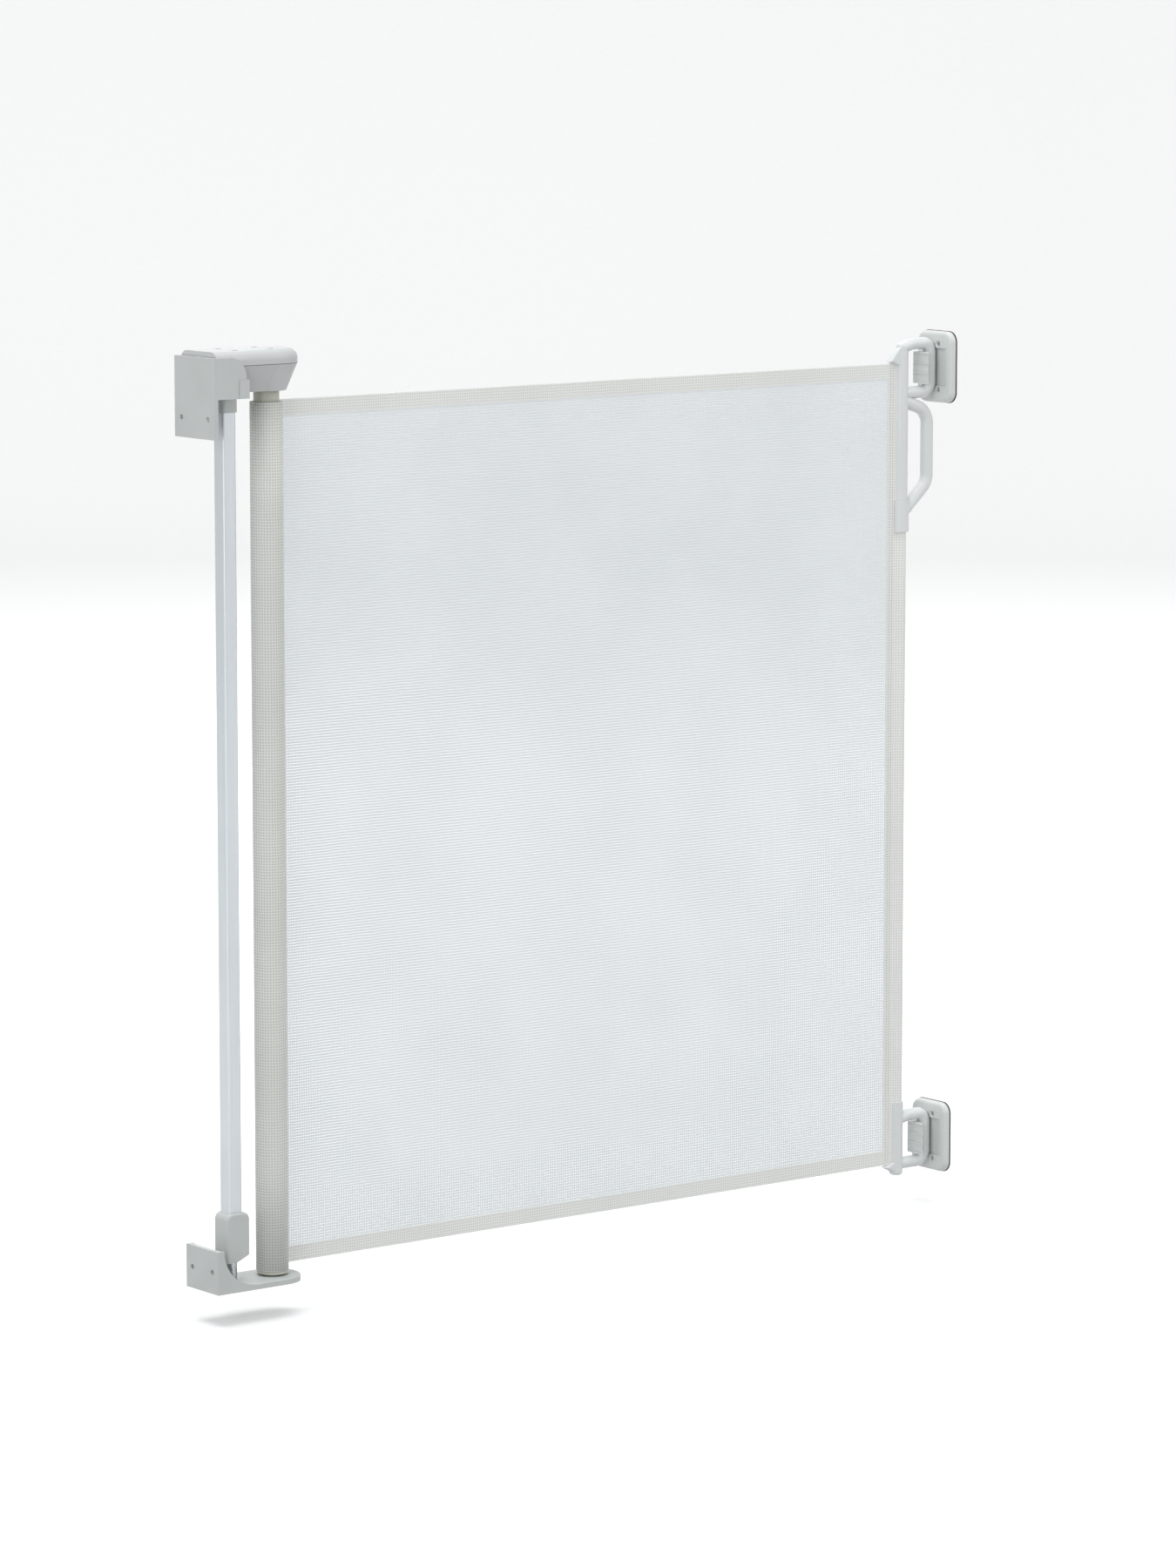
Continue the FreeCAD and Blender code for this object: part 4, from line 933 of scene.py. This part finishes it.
@dataclass
class BarPocket:
    """The mesh folded round the latch bar, with its sewn tail."""

    palette: Palette
    tail_reach: float = 17.5 * MM
    tail_thickness: float = 1.3 * MM
    tail_edge: float = 1.0 * MM
    stitch_pitch: float = 2.8 * MM
    seam_reaches: tuple[float, float] = (11.3 * MM, 14.6 * MM)
    seam_inset: float = 2.0 * MM
    neck_blend: float = 2.5 * MM
    neck_angle: float = 0.35
    edge_share: float = 0.85
    round_steps: int = 28
    rows: int = 40

    def outline(self, radius: float) -> list[tuple[float, float]]:
        """Draw the pocket's section: round the bar, then two layers sewn flat.

        Args:
            radius: the pocket's radius round the bar.

        Returns:
            Points across and through the cloth, from the bar's axis.
        """
        half = self.tail_thickness / 2
        outline: list[tuple[float, float]] = []
        meet = math.asin(half / radius) + self.neck_angle
        for k in range(self.round_steps + 1):
            angle = math.pi - meet - (math.tau - 2 * meet) * k / self.round_steps
            outline.append((radius * math.cos(angle), radius * math.sin(angle)))
        tail = -radius - self.neck_blend
        edge = self.edge_share * half
        return outline + [
            (tail, -half), (self.tail_edge - self.tail_reach, -half), (-self.tail_reach, -edge),
            (-self.tail_reach, edge), (self.tail_edge - self.tail_reach, half), (tail, half)]

    def build(self) -> list[bpy.types.Object]:
        """Make the pocket and its four rows of stitches, two on each face.

        Returns:
            Pocket and stitch rows.
        """
        low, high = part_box("mesh_pocket")
        x, y = (low.x + high.x) / 2, (low.y + high.y) / 2
        half = self.tail_thickness / 2
        outline = self.outline((high.x - low.x) / 2)
        reach = girths(outline)
        heights = spread(low.z, high.z, self.rows)
        rings = [[(x + u, y + v, z) for u, v in outline] for z in heights]
        pocket = skin("bar_pocket", rings, lambda j, k: (reach[k], heights[j]))
        rows = [
            stitch_row(
                f"seam_{name}_{number}",
                (x - inboard, y + side * half, low.z + self.seam_inset),
                (x - inboard, y + side * half, high.z - self.seam_inset),
                self.stitch_pitch, (0, side, 0))
            for name, side in (("front", -1), ("back", 1))
            for number, inboard in enumerate(self.seam_reaches, 1)]
        return [pocket, *rows]

    def dress(self, pieces: Sequence[bpy.types.Object]) -> None:
        """Give the pocket its weave and the seams their thread; all ride on the bar.

        Args:
            pieces: what build returned.
        """
        pocket, *rows = pieces
        dress(pocket, self.palette.folded_mesh)
        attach(pocket, "bar")
        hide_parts("mesh_pocket")
        for row in rows:
            dress(row, self.palette.thread)
            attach(row, "bar")


# --- studio --------------------------------------------------------------------------------------


@dataclass(frozen=True)
class SoftBox:
    """A square soft light: its name, its place from the object's middle, its side and its watts."""

    name: str
    offset: Point
    side: float
    power: float


@dataclass
class Studio:
    """Pale floor that curves up into a backdrop, soft lights and the camera."""

    floor_gap: float = 0.03
    floor_reach: float = 9.0
    sweep_radius: float = 2.5
    eye: Point = (-3.0767, -4.5520, 1.2233)
    azimuth_deg: float = 37.73
    pitch_deg: float = 8.05
    lens_mm: float = 140.8
    far_clip: float = 100.0
    air: str = "#fbfcfd"
    air_strength: float = 0.55
    boxes: tuple[SoftBox, ...] = (
        SoftBox("key", (2.6, -3.4, 2.2), 2.2, 44.0),
        SoftBox("top", (-0.4, 0.2, 3.8), 3.4, 95.0),
        SoftBox("left", (-3.6, -1.6, 1.2), 2.4, 42.0),
        SoftBox("back", (0.8, 3.6, 1.6), 3.0, 18.0))
    sweep_lamps: int = 4
    sweep_lamp_reach: float = 2.6
    sweep_lamp_height: float = 4.2
    sweep_lamp_side: float = 2.4
    sweep_lamp_power: float = 150.0
    sides: int = 64
    backdrop_height: float = 8.0

    def build(self) -> bpy.types.Object:
        """Make the sweep of paper, the lights and the camera.

        Returns:
            The paper sweep.
        """
        low, high = CAD_BOX
        floor = low.z - self.floor_gap
        centre = Vector(((low.x + high.x) / 2, (low.y + high.y) / 2, (low.z + high.z) / 2))
        sweep = self.paper(centre, floor)
        for box in self.boxes:
            self.light(box.name, centre + Vector(box.offset), centre, box.side, box.power)
        lift = Vector((0.0, 0.0, self.sweep_lamp_height))
        for number in range(self.sweep_lamps):
            angle = math.tau * (number + 0.5) / self.sweep_lamps
            outward = Vector((math.cos(angle), math.sin(angle), 0.0))
            self.light(
                f"sweep_{number}", centre + outward * self.sweep_lamp_reach + lift,
                centre + outward * self.floor_reach, self.sweep_lamp_side,
                self.sweep_lamp_power)
        world = bpy.data.worlds.new("studio_air")
        world.use_nodes = True
        background = world.node_tree.nodes["Background"]
        background.inputs["Color"].default_value = linear(self.air)
        background.inputs["Strength"].default_value = self.air_strength
        bpy.context.scene.world = world
        bpy.context.scene.view_settings.view_transform = "Standard"
        self.camera()
        return sweep

    def paper(self, centre: Vector, floor: float) -> bpy.types.Object:
        """Make the floor and backdrop as one curved sheet round the object.

        Args:
            centre: the object's middle.
            floor: the floor's height.

        Returns:
            The sheet.
        """
        flat = self.floor_reach - self.sweep_radius
        profile = [(flat * k / 6, 0.0) for k in range(1, 7)]
        for k in range(1, 17):
            angle = math.pi / 2 * k / 16
            profile.append((
                flat + self.sweep_radius * math.sin(angle),
                self.sweep_radius * (1 - math.cos(angle))))
        profile.append((self.floor_reach, self.backdrop_height))
        bm = bmesh.new()
        hub = bm.verts.new((centre.x, centre.y, floor))
        sides = self.sides
        rings = []
        for reach, lift in profile:
            rings.append([
                bm.verts.new((
                    centre.x + reach * math.cos(math.tau * k / sides),
                    centre.y + reach * math.sin(math.tau * k / sides), floor + lift))
                for k in range(sides)])
        for k in range(sides):
            bm.faces.new((hub, rings[0][k], rings[0][(k + 1) % sides]))
        for inner, outer in zip(rings, rings[1:]):
            for k in range(sides):
                n = (k + 1) % sides
                bm.faces.new((inner[k], outer[k], outer[n], inner[n]))
        sweep = new_object("paper_sweep", bm)
        dress(sweep, StudioPaper("paper_seamless_white", "#ffffff").material())
        # The paper sends no light back, so that pale plastic keeps its shading against it.
        sweep.visible_diffuse = False
        return sweep

    def light(self, name: str, place: Vector, target: Vector, size: float, power: float) -> None:
        """Add a soft square light that faces the object.

        Args:
            name: the light's name.
            place: its position.
            target: what it faces.
            size: the length of its side.
            power: its power in watts.
        """
        data = bpy.data.lights.new(name, "AREA")
        data.size = size
        data.energy = power
        lamp = bpy.data.objects.new(name, data)
        lamp.location = place
        lamp.rotation_euler = (target - place).to_track_quat("-Z", "Y").to_euler()
        bpy.context.scene.collection.objects.link(lamp)

    def camera(self) -> None:
        """Add the camera: a long lens from the front, on the roller's side."""
        data = bpy.data.cameras.new("camera")
        data.lens = self.lens_mm
        data.clip_end = self.far_clip
        eye = bpy.data.objects.new("camera", data)
        eye.location = self.eye
        eye.rotation_euler = (
            math.radians(90.0 - self.pitch_deg), 0.0, -math.radians(self.azimuth_deg))
        bpy.context.scene.collection.objects.link(eye)
        bpy.context.scene.camera = eye


def joint_travel(name: str) -> float:
    """Look up the longest reach of a slide joint.

    Args:
        name: the joint's name.

    Returns:
        Its reach in metres.
    """
    for joint in frame["joints"]:
        if joint["name"] == name:
            return max(abs(value) for value in joint["range_m"])
    raise KeyError(name)


def main() -> None:
    """Build and dress the gate, then set the studio."""
    logging.basicConfig(level=logging.INFO, format="%(message)s")
    palette = Palette()
    WallUnit(palette).dress()
    LatchSide(palette).dress()
    roll = MeshRoll(palette)
    wound = roll.build()
    roll.dress(wound)
    pocket = BarPocket(palette)
    sewn = pocket.build()
    pocket.dress(sewn)
    panel = MeshPanel(palette)
    cloth = panel.build()
    panel.dress(cloth, joint_travel("bar_retract"))
    report([wound, *sewn, *cloth])
    Studio().build()


if __name__ == "__main__":
    main()
